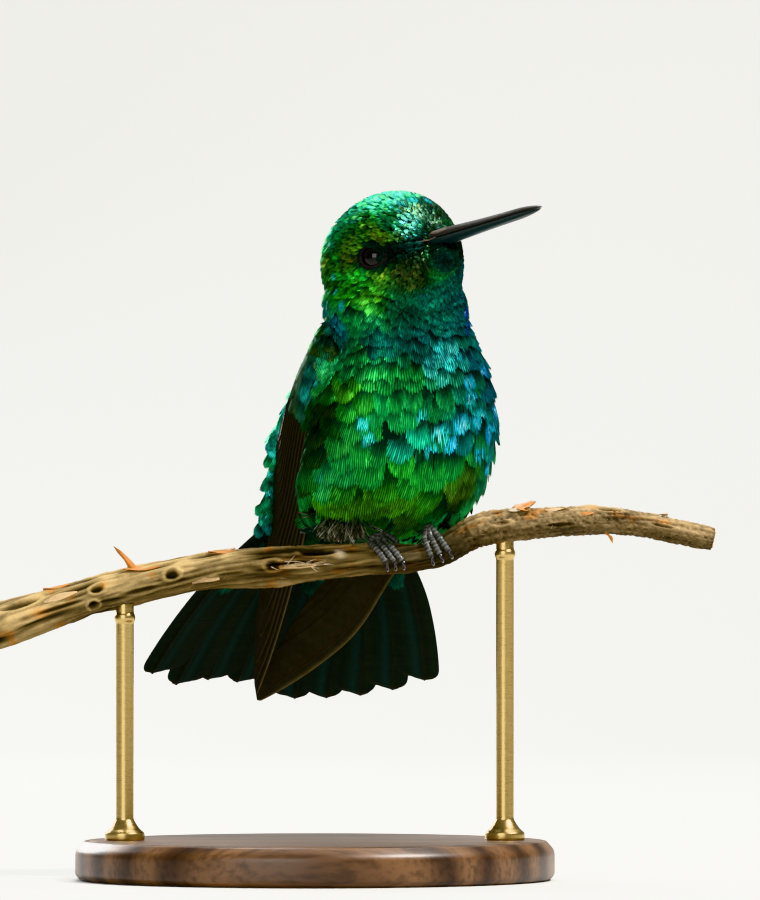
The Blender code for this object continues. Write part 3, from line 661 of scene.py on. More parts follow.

# %% [markdown]
# ## Markings on the front
# The front of the bird is the best known side, so its patches are finer. Each is given by its place across
# (x) and up (z), and is laid on the nearest skin behind that place. The glints are painted highlights: bright
# spots painted into the feathers' colour where the platelets would face the light, and they are smaller
# still.

# %% Front patches
# x, z, reach, colour
FRONT_PATCHES = [
    (2.6, 66.6, 1.6, (0.05, 0.42, 0.14)), (4.8, 67.9, 1.6, (0.05, 0.40, 0.14)),
    (7.0, 68.3, 1.7, (0.05, 0.38, 0.15)), (9.3, 68.2, 1.5, (0.04, 0.32, 0.16)),
    (1.5, 64.5, 1.5, (0.04, 0.40, 0.14)), (3.8, 65.4, 1.4, (0.05, 0.34, 0.08)),
    (12.4, 67.0, 1.6, (0.050, 0.090, 0.055)), (9.8, 65.4, 1.5, (0.020, 0.095, 0.065)),
    (12.0, 65.0, 1.4, (0.034, 0.058, 0.034)), (6.4, 64.3, 1.0, (0.110, 0.230, 0.014)),
    (8.9, 63.9, 0.8, (0.045, 0.100, 0.014)), (3.5, 63.6, 1.3, (0.070, 0.200, 0.014)),
    (7.6, 65.4, 1.0, (0.018, 0.120, 0.035)), (5.9, 62.3, 1.6, (0.010, 0.018, 0.007)),
    (0.8, 61.6, 1.4, (0.120, 0.200, 0.022)), (3.2, 61.8, 1.2, (0.130, 0.180, 0.022)),
    (3.2, 59.0, 1.6, (0.090, 0.600, 0.060)), (5.4, 58.2, 1.4, (0.110, 0.480, 0.030)),
    (6.2, 60.2, 1.1, (0.065, 0.200, 0.020)), (9.5, 60.0, 1.5, (0.055, 0.075, 0.028)),
    (9.2, 62.9, 1.2, (0.004, 0.005, 0.003)), (10.8, 62.0, 0.9, (0.030, 0.038, 0.024)),
    (7.7, 62.7, 1.1, (0.006, 0.008, 0.004)), (10.6, 63.6, 0.9, (0.005, 0.006, 0.004)),
    (4.2, 61.8, 0.6, (0.030, 0.050, 0.014)), (12.6, 63.4, 0.9, (0.010, 0.012, 0.008)),
    (13.6, 62.2, 1.2, (0.007, 0.026, 0.019)), (14.4, 60.8, 1.0, (0.008, 0.060, 0.050)),
    (9.5, 57.0, 2.0, (0.008, 0.090, 0.036)),
    (5.0, 56.6, 1.4, (0.012, 0.170, 0.055)), (13.6, 58.6, 1.8, (0.008, 0.115, 0.080)),
    (15.0, 58.4, 0.9, (0.012, 0.070, 0.150)), (15.0, 55.8, 1.0, (0.020, 0.060, 0.300)),
    (2.2, 55.6, 1.2, (0.006, 0.150, 0.230)),
    (6.5, 53.6, 1.9, (0.006, 0.085, 0.062)), (10.5, 54.2, 2.0, (0.007, 0.100, 0.085)),
    # Painted light: the bright green patches at (1.8, 52.4) and (0.4, 50.2) are lighter to stand for lit
    # feathers on the breast's edge above the right wing, and the pale cyan patch at (13.0, 52.2) is a painted
    # highlight.
    (14.0, 55.2, 1.5, (0.010, 0.130, 0.120)), (1.8, 52.4, 1.8, (0.080, 0.620, 0.170)),
    (0.4, 50.2, 1.6, (0.110, 0.800, 0.160)), (-0.6, 52.6, 1.2, (0.050, 0.190, 0.026)),
    (3.8, 51.6, 1.5, (0.025, 0.240, 0.050)), (3.5, 49.2, 1.6, (0.050, 0.270, 0.025)),
    (7.5, 49.8, 2.2, (0.025, 0.280, 0.055)), (13.0, 52.2, 1.7, (0.080, 0.500, 0.450)),
    (15.6, 52.2, 1.1, (0.012, 0.140, 0.200)), (17.1, 49.4, 1.5, (0.014, 0.160, 0.240)),
    (11.8, 48.2, 1.6, (0.025, 0.260, 0.070)), (7.5, 46.9, 1.7, (0.022, 0.320, 0.070)),
    # Painted shadow: the two near-black patches on this line darken the parting in the breast feathers.
    (8.4, 45.0, 1.1, (0.003, 0.005, 0.003)), (7.4, 44.9, 0.8, (0.003, 0.005, 0.003)),
    (10.0, 43.3, 1.4, (0.020, 0.420, 0.230)),
    (15.0, 46.3, 2.0, (0.012, 0.200, 0.170)), (17.8, 45.0, 1.5, (0.012, 0.160, 0.190)),
    (3.8, 44.2, 1.6, (0.035, 0.300, 0.055)), (9.5, 41.0, 2.2, (0.026, 0.230, 0.030)),
    (1.8, 39.6, 1.7, (0.035, 0.280, 0.060)), (3.0, 37.6, 1.8, (0.060, 0.280, 0.012)),
    (8.5, 38.0, 2.4, (0.050, 0.220, 0.012)), (9.0, 35.4, 1.6, (0.040, 0.150, 0.010)),
    (14.8, 39.6, 2.0, (0.040, 0.090, 0.012)), (17.0, 40.8, 1.3, (0.014, 0.100, 0.050)),
    # Painted shadow: the dark patches from (0.8, 47.2) to (-0.8, 39.6) paint the shade in the gap between
    # breast and wing.
    (14.0, 36.0, 1.8, (0.020, 0.075, 0.012)), (0.8, 47.2, 1.5, (0.016, 0.030, 0.007)),
    (1.1, 44.8, 1.5, (0.012, 0.024, 0.006)), (0.6, 42.6, 1.3, (0.012, 0.024, 0.006)),
    (-0.9, 44.6, 1.4, (0.016, 0.028, 0.007)), (-1.4, 42.0, 1.3, (0.014, 0.024, 0.006)),
    (-0.8, 39.6, 0.9, (0.014, 0.024, 0.006)), (-2.6, 47.6, 1.5, (0.030, 0.330, 0.220)),
    (-4.0, 44.2, 1.7, (0.030, 0.320, 0.200)), (-5.0, 40.6, 1.8, (0.030, 0.300, 0.130)),
    (-6.0, 37.6, 1.7, (0.030, 0.300, 0.100)), (-7.2, 35.2, 1.6, (0.014, 0.170, 0.190)),
    # Painted shadow: the dark patches at (2.5, 34.6), (6.0, 34.2) and (0.4, 35.8) paint the shade under the
    # belly.
    (2.5, 34.6, 1.9, (0.008, 0.014, 0.006)), (6.0, 34.2, 1.7, (0.008, 0.014, 0.006)),
    (0.4, 35.8, 1.3, (0.008, 0.022, 0.008)),
]
# Painted highlights on the front: x, z, reach, strength
FRONT_PAINTED_GLINTS = [
    (11.2, 67.9, 0.6, 0.7), (1.4, 64.8, 0.7, 0.7), (2.0, 58.6, 0.5, 0.6), (2.6, 57.2, 0.6, 0.6),
    (3.4, 56.6, 0.4, 0.5), (1.8, 60.0, 0.35, 0.6), (14.9, 56.6, 0.6, 1.0), (15.4, 55.2, 0.5, 0.9),
    (12.4, 52.8, 0.9, 0.60), (13.4, 51.4, 0.9, 0.65), (14.4, 52.6, 0.7, 0.8), (15.4, 49.8, 0.7, 1.0),
    (16.6, 50.8, 0.6, 1.0), (17.4, 49.0, 0.7, 1.0), (15.4, 48.0, 0.7, 1.0), (14.6, 45.6, 1.0, 1.0),
    (16.2, 46.0, 1.0, 1.0), (17.2, 44.6, 0.9, 1.0), (17.6, 46.8, 0.8, 1.0), (12.4, 44.6, 0.9, 1.0),
    (13.6, 43.6, 1.0, 1.0), (11.4, 42.8, 0.6, 1.0), (16.2, 42.6, 0.7, 1.0), (17.0, 41.4, 0.6, 0.9),
    (10.6, 46.2, 0.6, 0.9), (4.7, 45.4, 0.6, 0.9), (5.4, 43.9, 0.6, 1.0), (6.6, 43.3, 0.6, 0.9),
    (1.0, 50.2, 0.7, 0.9), (0.6, 51.4, 0.6, 0.7), (0.9, 40.4, 0.4, 0.5), (8.8, 47.6, 0.4, 0.5),
    (-2.2, 48.4, 0.6, 0.9), (-2.9, 46.8, 0.6, 0.9), (-3.6, 45.0, 0.5, 0.8), (-4.3, 43.2, 0.5, 0.7),
    (-4.8, 41.4, 0.5, 0.6), (-5.4, 39.4, 0.4, 0.5), (-6.0, 37.0, 0.4, 0.5),
]
# Arcs of painted glints over the crown: how many, the first one's x, the step, the top of the arc after that
# many millimetres, its height, its bend, how much the glints waver and how fast, reach and strength.
CROWN_ARCS = [(6, 2.2, 1.55, 5.0, 68.6, 0.10, 0.0, 0.0, 0.6, 0.55),
              (12, 2.6, 0.55, 4.2, 67.6, 0.11, 0.35, 4.7, 0.14, 1.0),
              (9, 3.6, 0.60, 3.2, 66.5, 0.09, 0.40, 3.3, 0.12, 0.9)]
# Rows of tiny painted glints down the brow: how many, the first one's x and z, steps across and down, how
# fast they waver, reach and strength.
BROW_ROWS = [(5, 8.3, 66.8, 0.42, 0.62, 5.1, 0.13, 1.0), (5, 9.3, 67.0, 0.36, 0.62, 3.7, 0.12, 1.0),
             (4, 7.9, 65.4, 0.34, 0.42, 4.3, 0.11, 0.9)]
for count, x, step, top, height, bend, waver, pace, reach, strength in CROWN_ARCS:
    for k in range(count):
        z = height - bend * (step * k - top) ** 2 + waver * math.sin(pace * k)
        FRONT_PAINTED_GLINTS.append((x + step * k, z, reach, strength))
for count, x, z, step, drop, pace, reach, strength in BROW_ROWS:
    for k in range(count):
        FRONT_PAINTED_GLINTS.append((x + step * k + 0.35 * math.sin(pace * k), z - drop * k, reach, strength))


def on_front(x, z):
    """The skin point that is seen at that place from the front."""
    gap = np.hypot(skin_points[:, 0] - x, skin_points[:, 2] - z)
    return skin_points[np.argmin(8 * np.maximum(gap - 0.35, 0) + skin_points[:, 1])]


front_middles = np.array([on_front(x, z) for x, z, _, _ in FRONT_PATCHES])
PATCH_MIDDLES = np.concatenate([PATCH_MIDDLES, front_middles])
PATCH_REACHES = np.concatenate([PATCH_REACHES, [row[2] for row in FRONT_PATCHES]])
PATCH_COLOURS = np.concatenate([PATCH_COLOURS, [row[3] for row in FRONT_PATCHES]])
for x, z, reach, strength in FRONT_PAINTED_GLINTS:
    hue = 2.0 if x > 14.5 and 54.5 < z < 58 else 0.9 * float(ease(12.5, 17.5, x)) * float(z < 54)
    PAINTED_GLINT_SPOTS = np.concatenate([PAINTED_GLINT_SPOTS, [(*on_front(x, z), reach, strength, hue)]])
print("colour patches:", len(PATCH_MIDDLES), "glints:", len(PAINTED_GLINT_SPOTS))

# %% [markdown]
# ## How the feathers lie
# Feathers grow away from the bill over the whole head and then run down the body to the tail. So each
# feather points away from the base of the bill near the head, and along the trunk further down. What is
# left after taking out the part that points out of the skin is its lie.

# %% Lie of the feathers
BILL_BASE = head_point(6.6, 0.0, 0.6)
TRUNK_LINE = smooth_through(TRUNK, np.linspace(0, len(TRUNK) - 1, 80))[:, :3]
TRUNK_WAYS = unit(np.gradient(TRUNK_LINE, axis=0))


def lie_at(points, ways_out):
    """The way that a feather points at each place on the skin."""
    from_bill = unit(points - BILL_BASE)
    near = ((points[:, None, :] - TRUNK_LINE[None]) ** 2).sum(-1).argmin(1)
    to_tail = -TRUNK_WAYS[near]
    up_the_head = ease(54.5, 60.5, points[:, 2])[:, None]
    behind = ease(0.0, 6.0, -dot(points - HEAD_CENTRE, HEAD_FORWARD))
    to_neck = unit(to_tail * 0.9 - HEAD_FORWARD * 0.25)
    on_head = unit(from_bill + to_neck * (0.25 + 1.2 * behind))
    way = mix(to_tail, on_head, up_the_head)
    return unit(way - ways_out * dot(way, ways_out))


# %% [markdown]
# ## One body feather
# What shows of a body feather is the rounded end of its vane. Its barbs fan out from the shaft like a comb,
# and each barb is a tiny ridge that catches the light on its own. The pattern is a flat grid: every second
# column is a barb's crest, and the ones between are the slits, painted dark as the shade between the barbs.
# It is closed underneath, so each vane is solid.

# %% Body feather pattern
def vane_pattern(barbs, rows):
    """(along, across, crest) of each point of a flat body feather, and its faces."""
    columns = 2 * barbs + 1
    across = np.linspace(-1, 1, columns)
    crest = (np.arange(columns) % 2).astype(float)
    along = np.linspace(0, 1, rows) ** 0.8
    s, a = np.meshgrid(along, across, indexing="ij")
    top = grid_faces(rows, columns)
    left = np.arange(rows - 1) * columns
    right = left + columns - 1
    under = np.stack([left, left + columns, right + columns, right], axis=-1)[:-1]
    tip = np.concatenate([[left[-1]], np.arange((rows - 1) * columns, rows * columns), [right[-1]]])[None]
    root = np.arange(columns)[::-1][None]
    return s.ravel(), a.ravel(), np.broadcast_to(crest, s.shape).ravel(), [top, under, tip, root]


# %% Where a feather lies
def lagrange(nodes, at):
    """Weights of each node for the smooth curve through the nodes, read at those places."""
    weights = np.ones((len(at), len(nodes)))
    for i, node in enumerate(nodes):
        for other in np.delete(nodes, i):
            weights[:, i] *= (at - other) / (node - other)
    return weights


STATIONS = np.array((0.0, 0.35, 0.7, 1.0))  # along a feather, where it is laid on its bed
SIDES = np.array((-1.0, 0.0, 1.0))
ROUNDING = 0.30  # how much shorter a feather is at its edges
SHARP_RIDGE = 100  # degrees, so that a feather's rim is sharp and its barbs are shaded smooth


def held_near(points, flat, limit):
    """The points, but no further from their flat places than the limit."""
    gap = points - flat
    return flat + gap * np.minimum(1, limit / (np.linalg.norm(gap, axis=1) + 1e-9))[:, None]


def feather_beds(snap, roots, ways, lengths, widths):
    """Where each feather's shaft and its two edges lie on the bed, and the ways out of it there."""
    place, out = snap(roots)
    way = unit(ways - out * dot(ways, out))
    beds, outs = [], []
    reach = 0.0
    for station in STATIONS:
        place, out = snap(place + way * ((station - reach) * lengths)[:, None])
        way = unit(way - out * dot(way, out))
        reach = station
        edge = np.cross(out, way) * (widths * 0.5 * (0.34 + 0.66 * station**0.8))[:, None]
        left, left_out = snap(place - edge)
        right, right_out = snap(place + edge)
        left = held_near(left, place - edge, 0.8 * widths)
        right = held_near(right, place + edge, 0.8 * widths)
        beds.append(np.stack([left, place, right], axis=1))
        outs.append(np.stack([left_out, out, right_out], axis=1))
    return np.stack(beds, axis=1), np.stack(outs, axis=1)


# %% Laying feathers
def lay_feathers(name, roots, ways, sizes, lift, maps, material, own, snap=skin_bed, barbs=9, rows=4,
                 ruffle=0.03, painted_rim_shade=0.35, varied=0.18, painted_glint=1.0):
    """One mesh of many feathers. sizes holds length and width, lift the height of root and tip."""
    count = len(roots)
    lengths = sizes[:, 0] * dice.normal(1, 0.09, count)
    widths = sizes[:, 1] * dice.normal(1, 0.07, count)
    s, a, crest, face_sets = vane_pattern(barbs, rows)
    beds, outs = feather_beds(snap, roots, ways, lengths, widths)
    rounded = s * (1 - ROUNDING * a**2)
    ragged = (s > 0.99) * (0.075 * crest - 0.045)
    fray = dice.normal(0, 0.026, (count, len(s))) * (s > 0.7) * crest
    shares = np.clip(rounded + ragged, 0, 1.05)
    weights = (lagrange(STATIONS, shares)[:, :, None] * lagrange(SIDES, a)[:, None, :]).reshape(len(s), -1)
    points = np.einsum("vk,nkc->nvc", weights, beds.reshape(count, -1, 3))
    on_skin = np.einsum("vk,nkc->nvc", weights, skin_bed(beds.reshape(-1, 3))[0].reshape(count, -1, 3))
    normals = unit(np.einsum("vk,nkc->nvc", weights, outs.reshape(count, -1, 3)))
    along = unit(beds[:, -1, 1] - beds[:, 0, 1])[:, None, :]
    low, high = lift
    tip = (high * dice.normal(1, ruffle, count))[:, None]
    tilt = dice.normal(0, ruffle * 0.8, count)[:, None] * a[None]
    height = low + (tip - low) * (1.15 * shares - 0.15 * shares**2)[None] + tilt * shares
    ridges = (0.27 * (widths / barbs)[:, None]) * crest[None] * (0.3 + 0.7 * s)
    height += ridges - 0.10 * widths[:, None] * a**2 * s**2
    points = points + normals * height[..., None] + along * (fray * lengths[:, None])[..., None]
    firsts = (np.arange(count) * len(s))[:, None, None]
    faces = [(f[None] + firsts).reshape(-1, f.shape[1]) for f in face_sets]
    points = points.reshape(-1, 3)
    piece = make_piece(name, points, facing_out(points, faces), material, sharp=SHARP_RIDGE)
    # Painted highlights: how much painted sheen each point gets is read on the skin under it.
    share, hue = painted_glint_share(on_skin.reshape(-1, 3))
    glints = painted_glint * share.reshape(count, -1), hue.reshape(count, -1)
    paint(piece, "plumage", feather_colours(own, glints, s, a, crest, painted_rim_shade, varied).reshape(-1, 3))
    patch = np.stack([a * 0.0015, (s - 0.5) * 0.003], axis=-1)
    map_points(piece, "OFBake", (maps[:, None, :] + patch[None]).reshape(-1, 2))
    return piece


# %% Colours within a feather
# Colours of the painted highlights: cyan, blue and violet, from hue 0 to 2.
PAINTED_GLINT_COLOURS = np.array([(0.09, 0.96, 0.84), (0.04, 0.50, 1.00), (0.07, 0.07, 0.90)])


def feather_colours(own, glints, s, a, crest, painted_rim_shade, varied):
    """Painted shade between the barbs, at the root where the row above covers it and along the rim, and
    painted highlights on the barbs where the sheen spots lie.
    """
    count = len(own)
    own = own * np.exp(dice.normal(0, varied, (count, 1))) * np.exp(dice.normal(0, 0.35 * varied, (count, 3)))
    rim = np.clip(s * (1 - ROUNDING * a**2) * 1.06, 0, 1.1)
    # Painted shade: the slits between barbs are dark, the root is dark where the row above hides it, and the
    # rim is darkened, or lightened where its factor is below 0.
    shade = (0.04 + 1.25 * crest) * (0.10 + 1.0 * ease(0.52, 0.92, s)) * (1 - painted_rim_shade * ease(0.93, 1.02, rim))
    barb = np.exp(dice.normal(0, 0.30, (count, len(s)))) * shade[None]
    # Painted highlights: near the spots of sheen, barbs are painted bright cyan, blue or violet, some with a
    # paler core, and the rest of the feather is darkened round them.
    share, hue = glints
    keen = (dice.random((count, 1)) < 0.88) * dice.uniform(0.65, 1.0, (count, 1))
    shown = (ease(0.35, 0.60, s) * crest)[None]
    spot = ease(0.20, 0.55, share) * keen * (dice.random((count, len(s))) < 0.80) * shown
    hue = hue + dice.normal(0, 0.22, (count, 1))
    white = np.stack([np.interp(hue, (0, 1, 2), PAINTED_GLINT_COLOURS[:, k]) for k in range(3)], axis=-1)
    core = (dice.random((count, len(s))) < 0.40) * ease(0.60, 0.95, share)
    white = mix(white, np.array((0.36, 1.0, 1.0)), 0.85 * core[..., None])
    colours = own[:, None, :] * barb[..., None] * (1 - 0.45 * ease(0.05, 0.25, share))[..., None]
    return np.minimum(colours + (white - colours) * np.clip(1.2 * spot, 0, 1)[..., None], 1.0)


# %% [markdown]
# ## The feathers' finish
# The green isn't a pigment. Tiny platelets in the barbs reflect it, much as a coloured metal would, so the
# shader is mostly metallic, with the colour from the feather's own paint. A fine noise breaks up the sheen.

# %% Tools for finishes
def add_node(made, kind, **inputs):
    """A shader node added to a finish, with some of its inputs set."""
    node = made.node_tree.nodes.new("ShaderNode" + kind)
    for name, value in inputs.items():
        node.inputs[name.replace("_", " ")].default_value = value
    return node


def shader_of(made):
    return made.node_tree.nodes["Principled BSDF"]


def ranged(made, value, low, high, **span):
    """A value from 0 to 1, or over the span given, moved into the range from low to high."""
    node = add_node(made, "MapRange", To_Min=low, To_Max=high, **span)
    made.node_tree.links.new(value, node.inputs["Value"])
    return node.outputs["Result"]


def painted(made):
    """The piece's own paint, as a node's output."""
    own = add_node(made, "Attribute")
    own.attribute_name = "plumage"
    return own.outputs["Color"]


def colour_by(made, colour, factor):
    """The finish's colour is that colour times the factor."""
    scaled = add_node(made, "VectorMath")
    scaled.operation = "SCALE"
    made.node_tree.links.new(colour, scaled.inputs[0])
    made.node_tree.links.new(factor, scaled.inputs["Scale"])
    made.node_tree.links.new(scaled.outputs["Vector"], shader_of(made).inputs["Base Color"])


def add_relief(made, height, strength, distance=0.0001):
    """Bumps of that height on top of the relief that the finish already has."""
    links, normal = made.node_tree.links, shader_of(made).inputs["Normal"]
    relief = add_node(made, "Bump", Strength=strength, Distance=distance)
    links.new(height, relief.inputs["Height"])
    if normal.is_linked:
        links.new(normal.links[0].from_socket, relief.inputs["Normal"])
    links.new(relief.outputs["Normal"], normal)


# %% Plumage material
def plumage_finish(name, metallic, roughness):
    """Painted feathers that are metallic where they are dark and less so where their painted highlights are
    pale.
    """
    made = plain_finish(name, (0.01, 0.2, 0.04), roughness, metallic)
    links = made.node_tree.links
    shader = shader_of(made)
    shader.inputs["Specular Tint"].default_value = (0.10, 0.55, 0.42, 1.0)
    speckle = add_node(made, "TexNoise", Scale=2600)
    links.new(add_node(made, "TexCoord").outputs["Object"], speckle.inputs["Vector"])
    own = painted(made)
    colour_by(made, own, ranged(made, speckle.outputs["Fac"], 0.55, 1.55))
    lightness = add_node(made, "RGBToBW")
    links.new(own, lightness.inputs["Color"])
    mirror = ranged(made, lightness.outputs["Val"], metallic, 0.55 * metallic, From_Min=0.35, From_Max=0.75)
    links.new(mirror, shader.inputs["Metallic"])
    gloss = ranged(made, speckle.outputs["Fac"], roughness - 0.10, roughness + 0.12)
    links.new(gloss, shader.inputs["Roughness"])
    return made


body_plumage = plumage_finish("iridescent_plumage", 0.75, 0.34)

# %% [markdown]
# ## Where the feathers grow
# Feathers stand in staggered rows. Each row is a ring round the loft, and its feathers are spaced by their
# own width there, so the rows close up on the face, where feathers are smallest. A root is dropped where
# the other form hides it, inside the eye, or under a wing.

# %% Feather rows
ROW_STEP = 0.05  # in sections, to measure how far apart two rows would be


def ring_roots(surface, section, spacing_at, offset):
    """Evenly filled angles round one section, for a spacing that may change round it."""
    turn = np.linspace(0, 2 * math.pi, 241)
    ring = surface(np.full(len(turn), section), turn)
    middles = (turn[1:] + turn[:-1]) / 2
    steps = np.linalg.norm(np.diff(ring, axis=0), axis=1)
    steps = steps / spacing_at(np.full(len(middles), section), middles)
    filled = np.concatenate([[0], np.cumsum(steps)])
    count = max(4, round(filled[-1]))
    wanted = (np.arange(count) + offset) / count * filled[-1]
    return np.interp(wanted, filled, turn)


def rows_of_roots(surface, first, last, row_gap, spacing_at, keep_depth):
    """Sections and angles of all the roots between two sections, in staggered rows."""
    found = []
    around = np.linspace(0, 6.0, 24)
    section, row = first, 0
    while section < last:
        turn = ring_roots(surface, section, spacing_at, 0.5 * (row % 2))
        found.append(np.stack([np.full(len(turn), section), turn], axis=1))
        ahead = surface(np.full(24, section + ROW_STEP), around, keep_depth)
        here = surface(np.full(24, section), around, keep_depth)
        section += ROW_STEP * row_gap(section) / max(0.02, np.linalg.norm(ahead - here, axis=1).mean())
        row += 1
    return np.concatenate(found)


def trunk_spacing(section, angle):
    """Gap between neighbouring feathers: wide on the belly and back, narrow on the neck."""
    return mix(2.45, 0.85, ease(3.2, 6.0, section))


def head_spacing(section, angle):
    """The face's feathers are tiny, those of nape and throat larger."""
    low = ease(0.2, -0.9, np.sin(angle))
    back = ease(5.5, 1.0, section)
    return mix(0.46, 0.80, np.maximum(back * 0.7, low * ease(7.6, 4.0, section)))


def trunk_row_gap(section):
    return mix(1.50, 0.60, ease(3.2, 6.0, section))


def head_row_gap(section):
    return mix(0.72, 0.34, ease(3.0, 7.0, section))


trunk_rows = rows_of_roots(trunk_surface, 0.15, 6.6, trunk_row_gap, trunk_spacing, 0.9)
head_rows = rows_of_roots(head_surface, 0.25, 7.96, head_row_gap, head_spacing, 0.4)
trunk_rows = trunk_rows + dice.normal(0, 1, trunk_rows.shape) * (0.035, 0.022)
head_rows = head_rows + dice.normal(0, 1, head_rows.shape) * (0.035, 0.018)


# %% Roots on the skin
def roots_on_skin(surface, rows, depth, spare):
    """Roots on the skin, kept only where this surface is the outer one and no wing covers them."""
    wanted = surface(rows[:, 0], rows[:, 1], depth)
    places, ways = skin_bed(wanted)
    in_wing, _ = wing_places(places)
    along, across, out, slide = in_wing.T
    covered = (slide < 1.0) & (out > -3.0) & (out < 4.0)
    covered &= (across > 0.10) & (across < 0.98) & (along < 0.98)
    keep = (np.linalg.norm(places - wanted, axis=1) < spare) & ~covered
    return rows[keep], places[keep], ways[keep]


trunk_coat = coat_depth(trunk_rows[:, 0])
trunk_rows, trunk_roots, trunk_ways = roots_on_skin(trunk_surface, trunk_rows, trunk_coat, 0.45)
spare_at_face = mix(0.45, 1.5, ease(5.5, 7.0, head_rows[:, 0]))
head_rows, head_roots, head_ways = roots_on_skin(head_surface, head_rows, HEAD_COAT, spare_at_face)
EYE_FORWARD, EYE_SIDE, EYE_RISE, EYE_RADIUS = 2.45, 4.5, -0.1, 1.6
SIGNS = {"right": 1, "left": -1}
EYES = {side: head_point(EYE_FORWARD, sign * EYE_SIDE, EYE_RISE) for side, sign in SIGNS.items()}
EYE_GAZE = {side: unit(HEAD_RIGHT * sign + HEAD_FORWARD * 0.45 + HEAD_UP * 0.05)
            for side, sign in SIGNS.items()}


# %% Room round the eyes
def beside_eye(points, side_name):
    """How far ahead of the eye and above it each point lies, seen along the eye's own axis."""
    gaze = EYE_GAZE[side_name]
    ahead = unit(HEAD_FORWARD - gaze * dot(gaze, HEAD_FORWARD))
    above = np.cross(ahead, gaze)
    gap = points - EYES[side_name]
    return gap @ ahead, gap @ above * np.sign(dot(above, HEAD_UP)), gap @ gaze


def clear_of_eyes(points):
    """True for the roots that leave the bare skin round both eyes free."""
    free = np.ones(len(points), bool)
    for side_name in EYES:
        ahead, above, out = beside_eye(points, side_name)
        free &= (((ahead - 0.16) / 1.36) ** 2 + (above / 1.14) ** 2 > 1) | (out < 0)
    return free


free = clear_of_eyes(head_roots)
head_rows, head_roots, head_ways = head_rows[free], head_roots[free], head_ways[free]
print("feathers:", len(trunk_roots), "on the trunk,", len(head_roots), "on the head")


# %% Trunk plumage
SHOWN = 0.72  # of a feather's length, the middle of the part that isn't covered


def loft_map(rows, sections):
    """Where feathers lie on the OFBake map, from the angles and sections of their roots."""
    return np.stack([rows[:, 1] / (2 * math.pi), rows[:, 0] / (len(sections) - 1)], axis=1)


def shown_at(roots, ways, lengths):
    """The place on the skin under the part of each feather that shows."""
    return skin_bed(roots + ways * (SHOWN * lengths)[:, None])[0]


up_the_trunk = ease(3.2, 6.0, trunk_rows[:, 0])
trunk_sizes = np.stack([mix(5.2, 2.2, up_the_trunk), mix(3.9, 1.45, up_the_trunk)], axis=1)
trunk_maps = loft_map(trunk_rows, TRUNK)
trunk_lies = lie_at(trunk_roots, trunk_ways)
turned = dice.normal(0, 0.08, (len(trunk_lies), 1))
trunk_lies = unit(trunk_lies + np.cross(trunk_ways, trunk_lies) * turned)
trunk_shown = shown_at(trunk_roots, trunk_lies, trunk_sizes[:, 0])
# Painted shadow: the belly's feathers are darkened towards its lower end beside the right leg.
belly_end = mix(36.4, 34.2, ease(4.0, 7.5, trunk_shown[:, 0]))
painted_belly_shadow = mix(0.08, 1.0, ease(-0.9, 0.5, trunk_shown[:, 2] - belly_end))
trunk_own = plumage_colour(trunk_shown) * painted_belly_shadow[:, None]
front = np.sin(trunk_rows[:, 1]) < 0
neck = trunk_rows[:, 0] > 4.6
for name, chosen, high, barbs in (
    ("breast_feathers", front & ~neck, 0.95, 17),
    ("back_feathers", ~front & ~neck, 0.95, 13),
    ("neck_feathers", neck, 0.62, 9),
):
    piece = lay_feathers(name, trunk_roots[chosen], trunk_lies[chosen], trunk_sizes[chosen],
                         (-0.05, high), trunk_maps[chosen], body_plumage,
                         trunk_own[chosen], barbs=barbs, rows=8)
    settle(piece, "green_plumage")

# %% Head plumage
def eye_shade(points):
    """How much darker the feathers are close round the eyes and along the line from eye to bill."""
    shade = np.ones(len(points))
    for side_name, sign in SIGNS.items():
        ahead, above, out = beside_eye(points, side_name)
        ring = mix(0.10, 1.0, ease(1.0, 1.45, np.hypot(ahead / 1.65, above / 1.45)))
        start = EYES[side_name]
        way = head_point(7.4, sign * 1.1, 0.75) - start
        share = np.clip((points - start) @ way / (way @ way), 0, 1)[:, None]
        from_line = points - start - share * way - EYE_GAZE[side_name] * 0.8 * (1 - share)
        line = mix(0.08, 1.0, ease(0.75, 1.35, np.linalg.norm(from_line, axis=1)))
        shade = np.minimum(shade, np.where(out > -1.5, np.minimum(ring, line), 1.0))
    return shade[:, None]


size_share = head_spacing(head_rows[:, 0], head_rows[:, 1])
head_sizes = np.stack([size_share * 2.5, size_share * 1.45], axis=1)
head_maps = loft_map(head_rows, HEAD)
head_lies = lie_at(head_roots, head_ways)
head_lies = unit(head_lies + np.cross(head_ways, head_lies) * dice.normal(0, 0.07, (len(head_lies), 1)))
head_shown = shown_at(head_roots, head_lies, head_sizes[:, 0])
head_own = plumage_colour(head_shown) * eye_shade(head_shown)
upper = np.sin(head_rows[:, 1]) > -0.15
for name, chosen, uneven in (("crown_feathers", upper, 0.50), ("cheek_and_throat_feathers", ~upper, 0.34)):
    piece = lay_feathers(name, head_roots[chosen], head_lies[chosen], head_sizes[chosen], (-0.03, 0.40),
                         head_maps[chosen], body_plumage, head_own[chosen], barbs=7, rows=5, varied=uneven)
    settle(piece, "green_plumage")

# %% [markdown]
# ## Feathers over the bend of the wing
# The breast's side feathers spill over the front of the folded wing, so no gap shows between the two. They
# need a bed that carries both, which is the body and the bends of the wings fused together for the moment.

# %% Shoulder feathers
def front_map(spots):
    """Where feathers lie on the OFBake map, from their place as it is seen from the front."""
    return np.stack([spots[:, 0] * 0.02 + 0.3, spots[:, 2] * 0.015], axis=1)


ARM_REACH = 0.26  # of the wing's length
ARM_ROWS, ARM_SIDES = 50, 36


